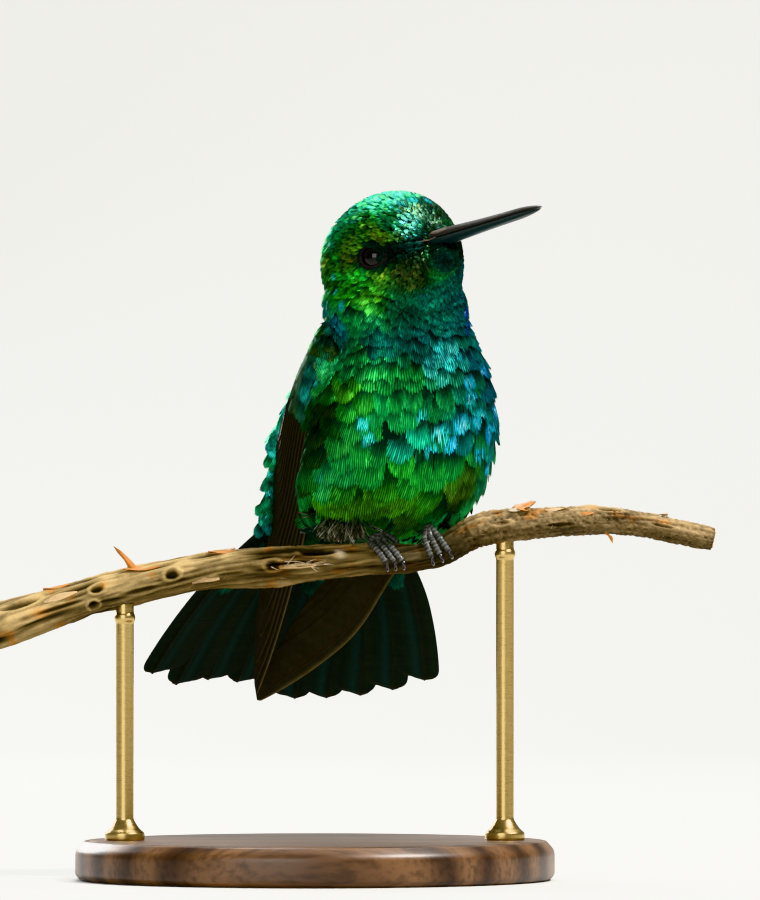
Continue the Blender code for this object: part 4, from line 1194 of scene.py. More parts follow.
def wing_arm(side):
    """Points of a wing's closed arm, thick at the bend, thin and on the flight feathers further down."""
    share = np.linspace(0, 1, ARM_ROWS)[:, None]
    turn = full_turn(ARM_SIDES)[None]
    end = np.sqrt(np.clip(1 - (1 - np.clip(share / 0.16, 0, 1)) ** 2, 0.02, 1))
    thick = mix(0.80, 0.12, ease(0.15, 1.0, share)) * end
    across = 0.5 + 0.02 * share + mix(0.50, 0.43, share) * end * np.cos(turn)
    lean = 0.9 * ease(0.50, 0.05, across) * ease(0.1, 0.6, share)
    out = mix(0.0, 0.42, ease(0.15, 0.9, share)) - lean * 0.75 + thick * np.sin(turn)
    points, _ = wing_surface(side, mix(0.0, ARM_REACH, share), across, out)
    return points.reshape(-1, 3)


arm_tubes = [with_fan_ends(wing_arm(side), ARM_SIDES) for side in WINGS]
shoulder_mesh = fused("shoulders", body_lofts + arm_tubes, skin_finish)
write_points(shoulder_mesh, smooth_points(shoulder_mesh, read_points(shoulder_mesh), 6))
shoulder_bed = bed_of(shoulder_mesh)
spots, lies, over, steps = [], [], [], []
for side in WINGS:
    for row, step in enumerate(np.linspace(-0.045, 0.19, 11)):
        last_across = mix(0.62, 0.10, ease(0.0, 0.07, step))
        across = np.arange(-0.78, last_across, 0.135) + 0.067 * (row % 2)
        place = max(step, 0.0)
        spot, _ = wing_surface(side, place, across, 0.4)
        after, _ = wing_surface(side, place + 0.05, across + 0.03, 0.4)
        spots.append(spot + UP * ((place - step) * 60.0) + dice.normal(0, 0.12, spot.shape))
        lies.append(unit(after - spot))
        over.append(across if side == "right" else across * 0 - 1)
        steps.append(across * 0 + step)
spots, lies, over, steps = (np.concatenate(part) for part in (spots, lies, over, steps))
spots, ways_out = shoulder_bed(spots)
lies = unit(lies - ways_out * dot(lies, ways_out))
shoulder_sizes = np.tile((2.9, 1.8), (len(spots), 1))
olive = np.array((0.050, 0.085, 0.014))
shoulder_own = mix(plumage_colour(spots + lies * 1.6), olive, ease(0.15, 0.45, over)[:, None])
upper_row = ease(0.02, -0.045, steps)
shoulder_lift = (mix(0.10, 0.0, upper_row)[:, None], mix(0.55, 0.35, upper_row))
shoulders = lay_feathers("shoulder_feathers", spots, lies, shoulder_sizes, shoulder_lift, front_map(spots),
                         body_plumage, shoulder_own, snap=shoulder_bed, barbs=9, rows=7)
settle(shoulders, "green_plumage")
bpy.data.meshes.remove(shoulder_mesh)

# %% [markdown]
# ## The loin
# Beside and behind each wing the coat is deeper, and it bulges past the wing as a strip of small bright
# scales. Their bed is the skin itself, pushed out there by the extra depth and thrown away afterwards.

# %% Loin feathers
LOIN_DEPTH = 2.15
LOIN_ROW_GAP, LOIN_SPACING = 0.80, 1.15
along_edge = np.linspace(0.10, 0.66, 60)
edge_line = np.concatenate([wing_surface(side, along_edge, 1.04)[0] for side in WINGS])
edge_share = np.tile(along_edge, len(WINGS))
bulge_mesh = skin_mesh.copy()
gaps = np.linalg.norm(skin_points[:, None, :] - edge_line[None], axis=-1)
near, share = gaps.min(1), edge_share[gaps.argmin(1)]
in_wing, _ = wing_places(skin_points)
beyond = ease(0.94, 1.06, in_wing[:, 1])
bulge = beyond * ease(5.2, 1.6, near) * ease(0.26, 0.44, share) * ease(0.74, 0.56, share)
normals = skin_bed(skin_points)[1]
write_points(bulge_mesh, smooth_points(bulge_mesh, skin_points + normals * (LOIN_DEPTH * bulge)[:, None], 4))
loin_bed = bed_of(bulge_mesh)
loin_rows = rows_of_roots(trunk_surface, 0.5, 4.6, lambda section: LOIN_ROW_GAP,
                          lambda section, angle: np.full_like(section, LOIN_SPACING), 0.4)
loin_rows = loin_rows + dice.normal(0, 1, loin_rows.shape) * (0.03, 0.02)
loin_spots = trunk_surface(loin_rows[:, 0], loin_rows[:, 1], coat_depth(loin_rows[:, 0]))
gaps = np.linalg.norm(loin_spots[:, None, :] - skin_points[None, ::3], axis=-1)
kept = bulge[::3][gaps.argmin(1)] > 0.10
loin_spots, loin_ways = loin_bed(loin_spots[kept])
loin_lies = unit(lie_at(loin_spots, loin_ways) + dice.normal(0, 0.05, loin_spots.shape))
loin_maps = loft_map(loin_rows[kept], TRUNK)
loin_sizes = np.tile((2.4, 1.7), (len(loin_spots), 1))
loins = lay_feathers("loin_feathers", loin_spots, loin_lies, loin_sizes, (0.0, 0.28), loin_maps, body_plumage,
                     plumage_colour(loin_spots + loin_lies * 1.8), snap=loin_bed, barbs=9, rows=6)
settle(loins, "green_plumage")
bpy.data.meshes.remove(bulge_mesh)
print("loin feathers:", len(loin_spots))

# %% [markdown]
# ## Feathers round the bill
# The plumage runs out over the root of the bill in two points, one on the forehead and one on the chin.
# Their feathers are the smallest of all. Roots are laid on the small eggs that the skin already holds
# there, and on a flat one round them.

# %% Bill base feathers
def roots_on_egg(centre, sizes, gap):
    """Evenly spread roots over an egg round the root of the bill."""
    count = int(4 * math.pi * (sizes[0] * sizes[1]) / gap**2)
    k = np.arange(count) + 0.5
    slide = 1 - 2 * k / count
    turn = k * math.pi * (1 + 5**0.5)
    return egg_point(centre, sizes, slide, turn)


FACE_DISC = ((6.3, 0.0, 0.2), (1.0, 3.4, 3.4))
face_roots = np.concatenate([roots_on_egg(*egg, gap) for egg, gap in (
    (FOREHEAD_POINT, 0.26), (CHIN_POINT, 0.30), (CHIN_FILL, 0.30), (FACE_DISC, 0.34))])
face_places, face_ways = skin_bed(face_roots)
bare = np.linalg.norm(face_places - face_roots, axis=1) > 0.35
forward_by, side_by, rise_by = ((face_places - HEAD_CENTRE) @ axis for axis in HEAD_AXES)
on_bill = (np.abs(side_by) > 0.75) & (forward_by > 7.0) & (rise_by > 0.35) & (rise_by < 1.5)
kept = ~bare & ~on_bill & (forward_by > 5.2)
face_places, face_ways = face_places[kept], face_ways[kept]
face_lies = unit(face_places - head_point(9.6, 0.0, 0.7))
face_lies = unit(face_lies - face_ways * dot(face_lies, face_ways))
face_maps = np.stack([side_by[kept] * 0.004 + 0.5, rise_by[kept] * 0.004 + 0.5], axis=1)
face_sizes = np.full((len(face_places), 2), (0.95, 0.50))
face_own = plumage_colour(face_places) * 0.7
face = lay_feathers("bill_base_feathers", face_places, face_lies, face_sizes, (-0.02, 0.26), face_maps,
                    body_plumage, face_own, barbs=4, rows=4, ruffle=0.12, varied=0.45, painted_rim_shade=0.6)
settle(face, "green_plumage")

# %% [markdown]
# ## Finishes with their own paint
# Horn, skin, brass and dry stem share one way of making a finish: the piece keeps a painted colour, and one
# noise breaks up its shade and its gloss and gives it a fine bump. Only the numbers differ.

# %% Painted finishes
def worn_finish(name, roughness, grain, stretch=(1.0, 1.0, 1.0), contrast=0.35, bump=0.15, metallic=0.0,
                coat=0.0, specular=0.3):
    """Painted colour, broken up by a noise of that many grains to the metre, drawn out by stretch."""
    made = plain_finish(name, (0.2, 0.2, 0.2), roughness, metallic)
    links = made.node_tree.links
    shader = shader_of(made)
    shader.inputs["Coat Weight"].default_value = coat
    shader.inputs["Coat Roughness"].default_value = 0.08
    shader.inputs["Specular IOR Level"].default_value = specular
    drawn = add_node(made, "Mapping", Scale=stretch)
    links.new(add_node(made, "TexCoord").outputs["Object"], drawn.inputs["Vector"])
    grains = add_node(made, "TexNoise", Scale=grain, Detail=5.0)
    links.new(drawn.outputs["Vector"], grains.inputs["Vector"])
    noise = grains.outputs["Fac"]
    colour_by(made, painted(made), ranged(made, noise, 1 - contrast, 1 + contrast))
    glossiest, dullest = max(0.03, roughness - 0.12), min(1.0, 2.0 * roughness, roughness + 0.12)
    links.new(ranged(made, noise, glossiest, dullest), shader.inputs["Roughness"])
    add_relief(made, noise, bump)
    return made


skin_colour = plumage_colour(skin_points) * 0.22 * eye_shade(skin_points)
paint(skin, "plumage", skin_colour)
skin_mesh.materials[0] = worn_finish("skin_and_down", 0.8, 5000, bump=0.4)
horn_finish = worn_finish("bill_horn", 0.38, 5200, bump=0.08, coat=0.08, specular=0.25)
claw_finish = worn_finish("claw_horn", 0.22, 6000, bump=0.05, coat=0.5)
scale_skin_finish = worn_finish("foot_skin", 0.42, 7000, bump=0.25, coat=0.15)
eye_finish = worn_finish("wet_eye", 0.05, 9000, contrast=0.1, bump=0.0, specular=0.35)
lid_finish = worn_finish("lid_skin", 0.5, 9000, bump=0.3, specular=0.2)

# %% [markdown]
# ## Lathes, tubes and leaves
# Most of the hard parts are one of three shapes. A lathe turns a profile about an axis, a tube follows a
# line with its own radius at each step, and a leaf is a thin closed sheet over a grid. Each takes arrays,
# so a scale or a fold is one more term in a formula.

# %% Shape makers
def joined(name, shapes, material, sharp=None):
    """One piece from many (points, face arrays, colours) shapes, each face array under its corner count."""
    points, colours, faces, start = [], [], {}, 0
    for shape_points, face_sets, shape_colours in shapes:
        face_sets = facing_out(shape_points, face_sets)
        points.append(shape_points)
        colours.append(np.broadcast_to(shape_colours, shape_points.shape))
        for face_set in face_sets:
            faces.setdefault(np.shape(face_set)[1], []).append(np.asarray(face_set) + start)
        start += len(shape_points)
    face_sets = [np.concatenate(same) for same in faces.values()]
    piece = make_piece(name, np.concatenate(points), face_sets, material, sharp)
    paint(piece, "plumage", np.concatenate(colours))
    return piece


def ring_colours(colours, around):
    """One colour for each point, where the colours given may be one for each ring."""
    colours = np.asarray(colours, float)
    return np.repeat(colours, around, axis=0) if colours.ndim == 2 else colours.reshape(-1, 3)


def tube_shape(line, radii, around, colours):
    """A closed tube along a line; radii is (rows,) or (rows, around)."""
    line = np.asarray(line, float)
    ways = unit(np.gradient(line, axis=0))
    level = np.array((0.3, 1.0, 0.2)) if abs(ways[len(ways) // 2][1]) < 0.8 else np.array((1.0, 0.2, 0.1))
    side = unit(np.cross(ways, level))
    other = np.cross(ways, side)
    turn = full_turn(around)[:, None]
    radii = np.broadcast_to(np.asarray(radii, float).reshape(len(line), -1), (len(line), around))
    ring = side[:, None] * np.cos(turn) + other[:, None] * np.sin(turn)
    points = line[:, None] + ring * radii[..., None]
    return points.reshape(-1, 3), tube_faces(len(line), around), ring_colours(colours, around)


def ring_ways(axis, count):
    """Ways out from an axis, spread evenly round it."""
    side = unit(np.cross(axis, (0.31, 0.17, 0.93) if abs(axis[2]) < 0.9 else (1.0, 0.0, 0.0)))
    turn = full_turn(count)[:, None]
    return side * np.cos(turn) + np.cross(axis, side) * np.sin(turn)


def lathe_shape(profile, around, centre, axis, colours):
    """A closed turned shape: profile holds (radius, height) rows."""
    axis = unit(np.asarray(axis, float))
    profile = np.asarray(profile, float)
    points = np.asarray(centre) + ring_ways(axis, around)[None] * profile[:, 0][:, None, None]
    points = points + axis * profile[:, 1][:, None, None]
    return points.reshape(-1, 3), tube_faces(len(profile), around), ring_colours(colours, around)


def leaf_shape(top, ways, thickness, colours):
    """A thin closed sheet under a grid of points, with its rim joined all round."""
    rows, columns = top.shape[:2]
    under = top - ways * thickness
    points = np.concatenate([top.reshape(-1, 3), under.reshape(-1, 3)])
    faces = grid_faces(rows, columns)
    k = np.arange(rows * columns).reshape(rows, columns)
    rim = np.concatenate([k[0, :-1], k[:-1, -1], k[-1, :0:-1], k[:0:-1, 0]])
    below = rim + rows * columns
    sides = np.stack([rim, below, np.roll(below, -1), np.roll(rim, -1)], axis=-1)
    colours = np.broadcast_to(colours, top.shape).reshape(-1, 3)
    return points, [faces, faces[:, ::-1] + rows * columns, sides], np.concatenate([colours, colours])


# %% [markdown]
# ## Eyes and lids
# A bird's eye is nearly all iris and pupil, so the ball looks black-brown. Its front bulges a little, as the
# clear cornea does. The bare lids lie round it as a folded ring of dark skin, with a painted highlight along
# the lower rim, and set with tiny beads. The ring has a closed section, so it is a real roll of skin.

# %% Eyes and lids
# The section of the lids' ring: distance from the gaze's axis, and distance along it.
LID = [(1.08, 1.20), (1.10, 1.30), (1.15, 1.37), (1.21, 1.38), (1.26, 1.31), (1.30, 1.33), (1.36, 1.36),
       (1.41, 1.29), (1.46, 1.26), (1.52, 1.16), (1.60, 0.95), (1.66, 0.70), (1.35, 0.62), (1.10, 0.95)]
LID_SIDES, LID_BEADS = 96, 40
lid = np.array(LID)
for side_name, centre in EYES.items():
    gaze = EYE_GAZE[side_name]
    tilt = np.linspace(0.02, math.pi - 0.02, 48)
    dome = EYE_RADIUS * (0.985 + 0.035 * np.exp(-((tilt / 0.5) ** 2)))
    pupil = ease(0.42, 0.36, tilt)[:, None]
    iris = ease(0.72, 0.60, tilt)[:, None]
    shade = mix(np.array((0.003, 0.003, 0.003)), np.array((0.006, 0.004, 0.003)), iris)
    shade = mix(shade, np.array((0.002, 0.002, 0.002)), pupil)
    ball = lathe_shape(np.stack([dome * np.sin(tilt), dome * np.cos(tilt)], axis=1), 48, centre, gaze, shade)
    settle(joined(f"eyeball_{side_name}", [ball], eye_finish), "eye", f"eye_{side_name}")
    turn = full_turn(LID_SIDES)
    ahead = unit(np.cross(gaze, HEAD_UP))
    ring = ring_ways(gaze, LID_SIDES)
    corner = (ring @ ahead) ** 2
    lower = ring @ HEAD_UP
    stretch = 0.90 + 0.16 * corner[None] * np.linspace(1, 1.6, len(lid))[:, None]
    folds = np.zeros(len(lid))
    folds[2:11] = 1
    wrinkle = 0.020 * np.sin(41 * turn + 3 * np.sin(2 * turn))[None] * folds[:, None]
    wrinkle = wrinkle + 0.015 * dice.normal(0, 1, (len(lid), LID_SIDES)) * folds[:, None]
    points = centre + ring[None] * (lid[:, :1] * stretch)[..., None]
    points = points + gaze * (lid[:, 1:] + wrinkle)[..., None]
    # Painted highlight: the lids' rim is paler along its lower edge, where the light catches it.
    rim = np.exp(-(((np.arange(len(lid)) - 2.4) / 1.1) ** 2))[:, None] * ease(0.5, -0.5, lower)[None]
    dark = np.array((0.0042, 0.0048, 0.0040)) * np.exp(dice.normal(0, 0.35, (len(lid), LID_SIDES, 1)))
    shade = mix(dark, np.array((0.050, 0.048, 0.040)), (0.50 * rim)[..., None])
    faces = grid_faces(len(lid) + 1, LID_SIDES, wrap=True) % (len(lid) * LID_SIDES)
    shapes = [(points.reshape(-1, 3), [faces], shade.reshape(-1, 3))]
    for spot in unit(ring_ways(gaze, LID_BEADS)):
        out = 1.21 * (0.90 + 0.18 * (spot @ ahead) ** 2)
        small = 0.028 + 0.016 * dice.random()
        heights = np.linspace(-0.96, 0.96, 5)
        rows = np.stack([small * np.sqrt(1 - heights**2), small * heights], axis=1)
        tint = mix(np.array((0.006, 0.006, 0.005)), np.array((0.030, 0.029, 0.025)), dice.random())
        shapes.append(lathe_shape(rows, 7, centre + spot * out + gaze * 1.36, gaze, np.tile(tint, (5, 1))))
    settle(joined(f"eyelids_{side_name}", shapes, lid_finish), "foot_skin")

# %% [markdown]
# ## The bill
# The bill is two halves of dark horn, straight and then bent down at the tip. A painted highlight runs along
# the top ridge, and the lower half is painted darker and tinted teal, as painted shade and a painted
# reflection. A groove holds the nostril near the face, and the halves part in a thin line that runs back to
# the corner of the mouth. The same formula as the solid's gives the outline.

# %% Bill
BILL_ROOT, BILL_RISE, BILL_LENGTH, BILL_SLIT = 6.0, 0.9, 16.4, 0.10
BILL_HALF_WIDTH, BILL_HALF_DEPTH = 1.45, 1.0


def bill_taper(left):
    """The bill's size along it, as a share of that at its root, where left is the share still ahead."""
    rounding = (1 - np.maximum(0, 1 - left / 0.24) ** 2) ** 0.7
    return mix(0.50, 1.0, left**2.2) * rounding + 0.05


def bill_half(part, reach, deep):
    """The upper (1) or lower (-1) half of the bill."""
    columns, rows = 28, 110
    left = np.linspace(1, 0, rows) ** 1.25
    taper = bill_taper(left)
    turn = np.linspace(0, math.pi, columns)
    far = BILL_ROOT + BILL_LENGTH * reach * (1 - left)
    ridge = np.exp(-(((turn - math.pi / 2) / 0.20) ** 2))[None]
    from_face = ease(0.30, 0.05, 1 - left)[:, None]
    groove = np.exp(-(((np.abs(turn - math.pi / 2) - 0.62) / 0.13) ** 2))[None] * from_face
    edge = np.exp(-((np.minimum(turn, math.pi - turn) / 0.12) ** 2))[None]
    swell = 1 + 0.05 * ridge - (0.16 if part > 0 else 0.05) * groove - 0.03 * (1 - ridge) * (1 - edge)
    wide = BILL_HALF_WIDTH * taper[:, None] * np.cos(turn)[None] * swell
    tall = BILL_HALF_DEPTH * deep * taper[:, None] * np.sin(turn)[None] ** 0.9 * swell
    streak = dice.normal(0, 1, (1, columns)) * 0.010 * taper[:, None]
    rise = BILL_RISE + part * (BILL_SLIT / 2 + tall + streak * np.sin(turn)[None])
    points = head_point(far[:, None], wide, rise)
    # Painted shade and reflection: the lower half is darker than the upper and tinted teal.
    dark = np.array((0.034, 0.032, 0.028)) if part > 0 else np.array((0.008, 0.016, 0.016))
    shade = np.tile(dark, (rows, columns, 1)) * np.exp(dice.normal(0, 0.22, (1, columns, 1)))
    # Painted highlight: the upper half is paler along its top ridge.
    ridge_highlight = 0.55 * ridge * (part > 0) * ease(0.02, 0.2, left)[:, None]
    shade = mix(shade, np.array((0.15, 0.15, 0.15)), ridge_highlight[..., None])
    pale = from_face * ease(1.0, 0.35, np.abs(turn - math.pi / 2) - 0.2)[None]
    pale = pale * ease(0.20, 0.04, 1 - left)[:, None]
    shade = mix(shade, np.array((0.26, 0.20, 0.16)), (0.55 * pale * (part > 0))[..., None])
    return points.reshape(-1, 3), tube_faces(rows, columns), shade.reshape(-1, 3)


settle(joined("bill_top", [bill_half(1, 1.0, 1.0)], horn_finish, sharp=50), "bill_horn", "bill_upper")
settle(joined("bill_bottom", [bill_half(-1, 0.985, 0.8)], horn_finish, sharp=50), "bill_horn", "bill_lower")

# %% [markdown]
# The corner of the mouth is a thin pale fold of skin on each side, and a soft flap covers each nostril.

# %% Mouth corners and nostril flaps
mouth = []
for sign in (1, -1):
    share = np.linspace(0, 1, 24)
    out_by = sign * (1.36 + 1.0 * ease(0.2, 1.0, share))
    line = head_point(mix(7.9, 5.4, share), out_by, 0.90 - 0.35 * share**1.5)
    back = share > 0.35
    snapped, out = skin_bed(line)
    line[back] = (snapped + out * 0.16)[back]
    line = line + HEAD_RIGHT * (sign * 0.02)
    thick = 0.085 * np.sin(math.pi * np.clip(share * 0.9 + 0.08, 0, 1)) ** 0.6
    tint = mix(np.array((0.13, 0.11, 0.09)), np.array((0.03, 0.028, 0.022)), share[:, None])
    mouth.append(tube_shape(line, thick, 8, tint))
    reach, turn = np.meshgrid(np.linspace(0, 1, 16), np.linspace(-1, 1, 7), indexing="ij")
    oval = np.sin(math.pi * np.clip(reach * 0.96 + 0.02, 0, 1)) ** 0.7
    angle = 0.62 + 0.26 * turn * oval
    size = bill_taper(1 - (mix(6.6, 9.2, reach) - BILL_ROOT) / BILL_LENGTH) * 1.03
    top = head_point(mix(6.6, 9.2, reach), sign * BILL_HALF_WIDTH * size * np.cos(angle),
                     BILL_RISE + 0.05 + BILL_HALF_DEPTH * size * np.sin(angle) + 0.05 * oval * (1 - turn**2))
    out = HEAD_RIGHT * sign * 0.8 + HEAD_UP * 0.6
    mouth.append(leaf_shape(top, out, 0.10, np.array((0.125, 0.100, 0.083))))
settle(joined("mouth_corners_and_nostril_flaps", mouth, lid_finish), "foot_skin")

# %% [markdown]
# ## The flight feathers' finish
# The vanes of wing and tail are matt and dark brown, with a faint sheen. A wave across each vane stands for
# its barbs, which are far finer than the mesh: it needs a map that runs along and across each feather.

# %% Vane finish
def vane_finish(name, roughness, sheen_colour):
    """Painted vanes with a fine diagonal comb of barbs."""
    made = worn_finish(name, roughness, 1400, contrast=0.45, bump=0.1, specular=0.10)
    shader_of(made).inputs["Specular Tint"].default_value = (*sheen_colour, 1.0)
    along = add_node(made, "UVMap")
    along.uv_map = "vane"
    barbs = add_node(made, "TexWave", Scale=1.6, Distortion=0.6)
    made.node_tree.links.new(along.outputs["UV"], barbs.inputs["Vector"])
    add_relief(made, barbs.outputs["Fac"], 0.35, 0.00006)
    return made


wing_finish = vane_finish("wing_vanes", 0.55, (0.5, 0.42, 0.32))
tail_finish = vane_finish("tail_vanes", 0.42, (0.25, 0.45, 0.50))
VANE_ACROSS = np.array((-1, -0.86, -0.6, -0.32, -0.10, -0.05, 0, 0.05, 0.10, 0.28, 0.5, 0.72, 0.9, 1.0))
QUILL_RISE = np.exp(-((VANE_ACROSS / 0.06) ** 2))
TIP_START = 0.88  # of a flight feather's length, where its tip begins to round off
WING_ROWS, TAIL_ROWS = 84, 110


def vane_tip(share):
    """Half widths near a rounded feather tip, and a narrow root."""
    past = np.clip((share - TIP_START) / (1 - TIP_START), 0, 1)
    return np.sqrt(np.maximum(1 - past**2.2, 0.003)) * mix(0.35, 1.0, ease(-0.05, 0.22, share))


def vane_shades(base, edge, quill, rows):
    """Streaked colours of a long vane, paler at its leading edge."""
    across = VANE_ACROSS[None, :, None]
    streaks = np.exp(dice.normal(0, 0.16, (1, len(VANE_ACROSS), 1)))
    shade = base * streaks * np.exp(dice.normal(0, 0.10, (rows, 1, 1)))
    shade = mix(shade, edge, ease(-0.80, -0.95, across))
    return mix(shade, quill, QUILL_RISE[None, :, None] * 0.9)


def vane_places(count, rows, length):
    """The vane map: along the feather in millimetres, slanted away from the quill, for top and underside."""
    along = np.linspace(0, length, rows)[:, None] + 1.6 * np.abs(VANE_ACROSS)[None]
    one = np.stack([along, np.broadcast_to(VANE_ACROSS * 0.4, along.shape)], axis=-1).reshape(-1, 2)
    return np.tile(one, (2 * count, 1))


# %% [markdown]
# ## The folded wings
# A folded wing is a stack. The outermost primary lies at the bottom with its leading edge free, and each
# feather further in lies over the last, so only a strip of each one shows from outside. The secondaries
# close the stack. `rank` counts up that pile, and each rank lies a little further out.

# %% Flight feathers
# How far along the wing each feather's tip reaches.
PRIMARY_TIPS = (1.0, 0.975, 0.93, 0.87, 0.81, 0.75, 0.69, 0.63, 0.575, 0.525)
SECONDARY_TIPS = (0.50, 0.47, 0.44, 0.41, 0.38, 0.35)
RANK_STEP = 0.085


def wing_widths(along):
    """The right wing's width in millimetres, which sets the pattern of both."""
    place = along * (len(RIGHT_WING) - 1)
    leads, trails = (smooth_through([row[k] for row in RIGHT_WING], place) for k in (0, 1))
    return np.linalg.norm(trails - leads, axis=-1)


def flight_feather(side, rank, start, tip, edge, width, base, pale):
    """One primary or secondary: its edge lies that far in from the wing's leading edge."""
    share = np.linspace(0, 1, WING_ROWS)
    along = mix(start, tip, share)
    room = np.maximum(wing_widths(along), 0.4)
    shape = vane_tip(share)[:, None]
    quill = edge + 0.26 * width
    ahead = np.minimum(VANE_ACROSS, 0) * 0.26 * width
    behind = np.maximum(VANE_ACROSS, 0) * 0.74 * width
    lateral = quill + (ahead + behind)[None] * shape
    across = np.minimum(lateral / room[:, None], 1.0 - 0.0004 * np.arange(len(VANE_ACROSS))[::-1][None])
    low = -(wing_half_thickness(along, 0.5) - 0.14)[:, None]
    height = low + RANK_STEP * rank + 0.06 * QUILL_RISE[None] * (1 - 0.6 * share[:, None])
    height = height - 0.05 * VANE_ACROSS[None] ** 2 * np.sign(VANE_ACROSS)[None]
    split = dice.normal(0, 0.0015, (1, len(VANE_ACROSS))) * ease(0.90, 1.0, share)[:, None]
    points, ways = wing_surface(side, np.clip(along[:, None] + split, 0, 1), across, height)
    shade = vane_shades(base, pale, np.array((0.020, 0.014, 0.010)), WING_ROWS)
    return leaf_shape(points, ways, 0.055, shade)


# Painted light: the left wing's brown is lighter than the right's, though both wings carry the same feathers.
WING_BROWN_AND_PAINTED_LIGHT = {"right": np.array((0.0122, 0.0112, 0.0078)), "left": np.array((0.0230, 0.0220, 0.0160))}
WING_EDGE = np.array((0.052, 0.047, 0.028))
FIRST_EDGE = np.array((0.15, 0.12, 0.065))
for side in WINGS:
    brown = WING_BROWN_AND_PAINTED_LIGHT[side]
    shapes = []
    for rank, tip in enumerate(PRIMARY_TIPS):
        wide = 2.5 if rank else 2.2
        pale = WING_EDGE * (1.3 - 0.08 * rank) if rank else FIRST_EDGE
        shapes.append(flight_feather(side, rank, 0.10 + 0.008 * rank, tip, 0.43 * rank, wide, brown, pale))
    primaries = joined(f"primaries_{side}", shapes, wing_finish, sharp=60)
    map_points(primaries, "vane", vane_places(len(shapes), WING_ROWS, 40.0))
    settle(primaries, "flight_feathers", f"wing_{side}")
    shapes = []
    for k, tip in enumerate(SECONDARY_TIPS):
        edge = 4.25 + 0.30 * k
        shapes.append(flight_feather(side, 10 + k, 0.12, tip, edge, 2.3, brown * 0.9, WING_EDGE * 0.8))
    secondaries = joined(f"secondaries_{side}", shapes, wing_finish, sharp=60)
    map_points(secondaries, "vane", vane_places(len(shapes), WING_ROWS, 18.0))
    settle(secondaries, "flight_feathers")

# %% [markdown]
# ## The wing's arm and its coverts
# Hand and forearm are short and lie under rows of coverts, which get longer towards the flight feathers.
# A closed arm is lofted first, painted dark, and it serves as the bed that the coverts grow on.

# %% Arm and coverts
# Rows of coverts: place of the roots along the wing, feathers in the row, length, width.
COVERT_ROWS = [(0.150, 8, 5.6, 1.7), (0.105, 8, 4.6, 1.8), (0.070, 8, 3.6, 1.7), (0.045, 8, 2.8, 1.5),
               (0.024, 8, 2.3, 1.4), (0.008, 7, 1.9, 1.3), (-0.002, 6, 1.6, 1.2)]
OLIVE, TEAL, BROWN = np.array([(0.040, 0.060, 0.016), (0.008, 0.150, 0.115), (0.030, 0.021, 0.012)])
covert_plumage = plumage_finish("covert_plumage", 0.55, 0.42)
for side in WINGS:
    arm_shape = wing_arm(side), tube_faces(ARM_ROWS, ARM_SIDES), np.array((0.012, 0.015, 0.008))
    arm = joined(f"wing_arm_{side}", [arm_shape], skin_mesh.materials[0])
    settle(arm, "teal_plumage")
    arm_bed = bed_of(arm.data)
    groups = {"greater": [], "lesser": []}
    for number, (along, count, length, width) in enumerate(COVERT_ROWS):
        group = groups["greater" if number < 2 else "lesser"]
        across = (np.arange(count) + 0.5 * (number % 2)) / (count - 0.5) * 1.10 - 0.08
        place = along + 0.02 * (0.5 - across) + dice.normal(0, 0.003, count)
        place = np.maximum(place, 0.0)
        spots, ways = wing_surface(side, place, across, mix(0.1, 0.9, ease(-0.1, 0.5, across)))
        ahead, _ = wing_surface(side, place + 0.05, across)
        behind, _ = wing_surface(side, place, across)
        lead = ease(0.30, -0.05, across)
        green = np.exp(-(((across - 0.42) / 0.24) ** 2))[:, None] * (0.9 if number in (1, 2) else 0.35)
        own = mix(mix(OLIVE, TEAL, green), BROWN, 0.8 * ease(0.62, 0.90, across)[:, None])
        own = own * np.exp(dice.normal(0, 0.25, (count, 1)))
        sizes = np.stack([length * mix(1.0, 0.72, lead), width * mix(1.0, 0.65, lead)], axis=1)
        maps = np.stack([across * 0.2 + 0.3, place], axis=1)
        group.append((spots, unit(ahead - behind), sizes, maps, own))
    for kind, rows in groups.items():
        spots, ways, sizes, maps, own = (np.concatenate(part) for part in zip(*rows))
        coverts = lay_feathers(f"{kind}_coverts_{side}", spots, ways, sizes, (0.06, 0.42), maps,
                               covert_plumage, own, snap=arm_bed, barbs=11, rows=9, painted_rim_shade=0.6, painted_glint=0)
        settle(coverts, "teal_plumage")

# %% [markdown]
# ## The tail
# Ten feathers spread in a fan. Seen from above, the middle pair lies on top and each outer one is tucked
# under its neighbour, so from in front the outermost shows whole. Tips are round, which notches the edge.

# %% Tail feathers
TAIL_ROOT = np.array((2.5, 7.8, 39.4))
TAIL_BACK = -heading(17.0, 47.0)
tail_roll = math.radians(3.7)
TAIL_RIGHT = unit(right_of(17.0) * math.cos(tail_roll) + UP * math.sin(tail_roll))
TAIL_RIGHT = unit(TAIL_RIGHT - TAIL_BACK * dot(TAIL_RIGHT, TAIL_BACK))
TAIL_TOP = np.cross(TAIL_BACK, TAIL_RIGHT)


FAN_ROOT, FAN_OPENING, FAN_CURVE = 3.9, 0.725, 0.0102


def tail_spread(back_by):
    """Half the fan's width, that far back from its root."""
    return FAN_ROOT + FAN_OPENING * back_by - FAN_CURVE * back_by**2


def tail_point(to_side, back_by, up_by):
    """A place on the fan: to_side runs from -1 to 1, which is the side that lies to the bird's left."""
    to_side, back_by, up_by = np.broadcast_arrays(to_side, back_by, up_by)
    lift = 0.9 * (1 - to_side**2) + up_by
    across = TAIL_RIGHT * (to_side * tail_spread(back_by))[..., None]
    return TAIL_ROOT + TAIL_BACK * back_by[..., None] - across + TAIL_TOP * lift[..., None]


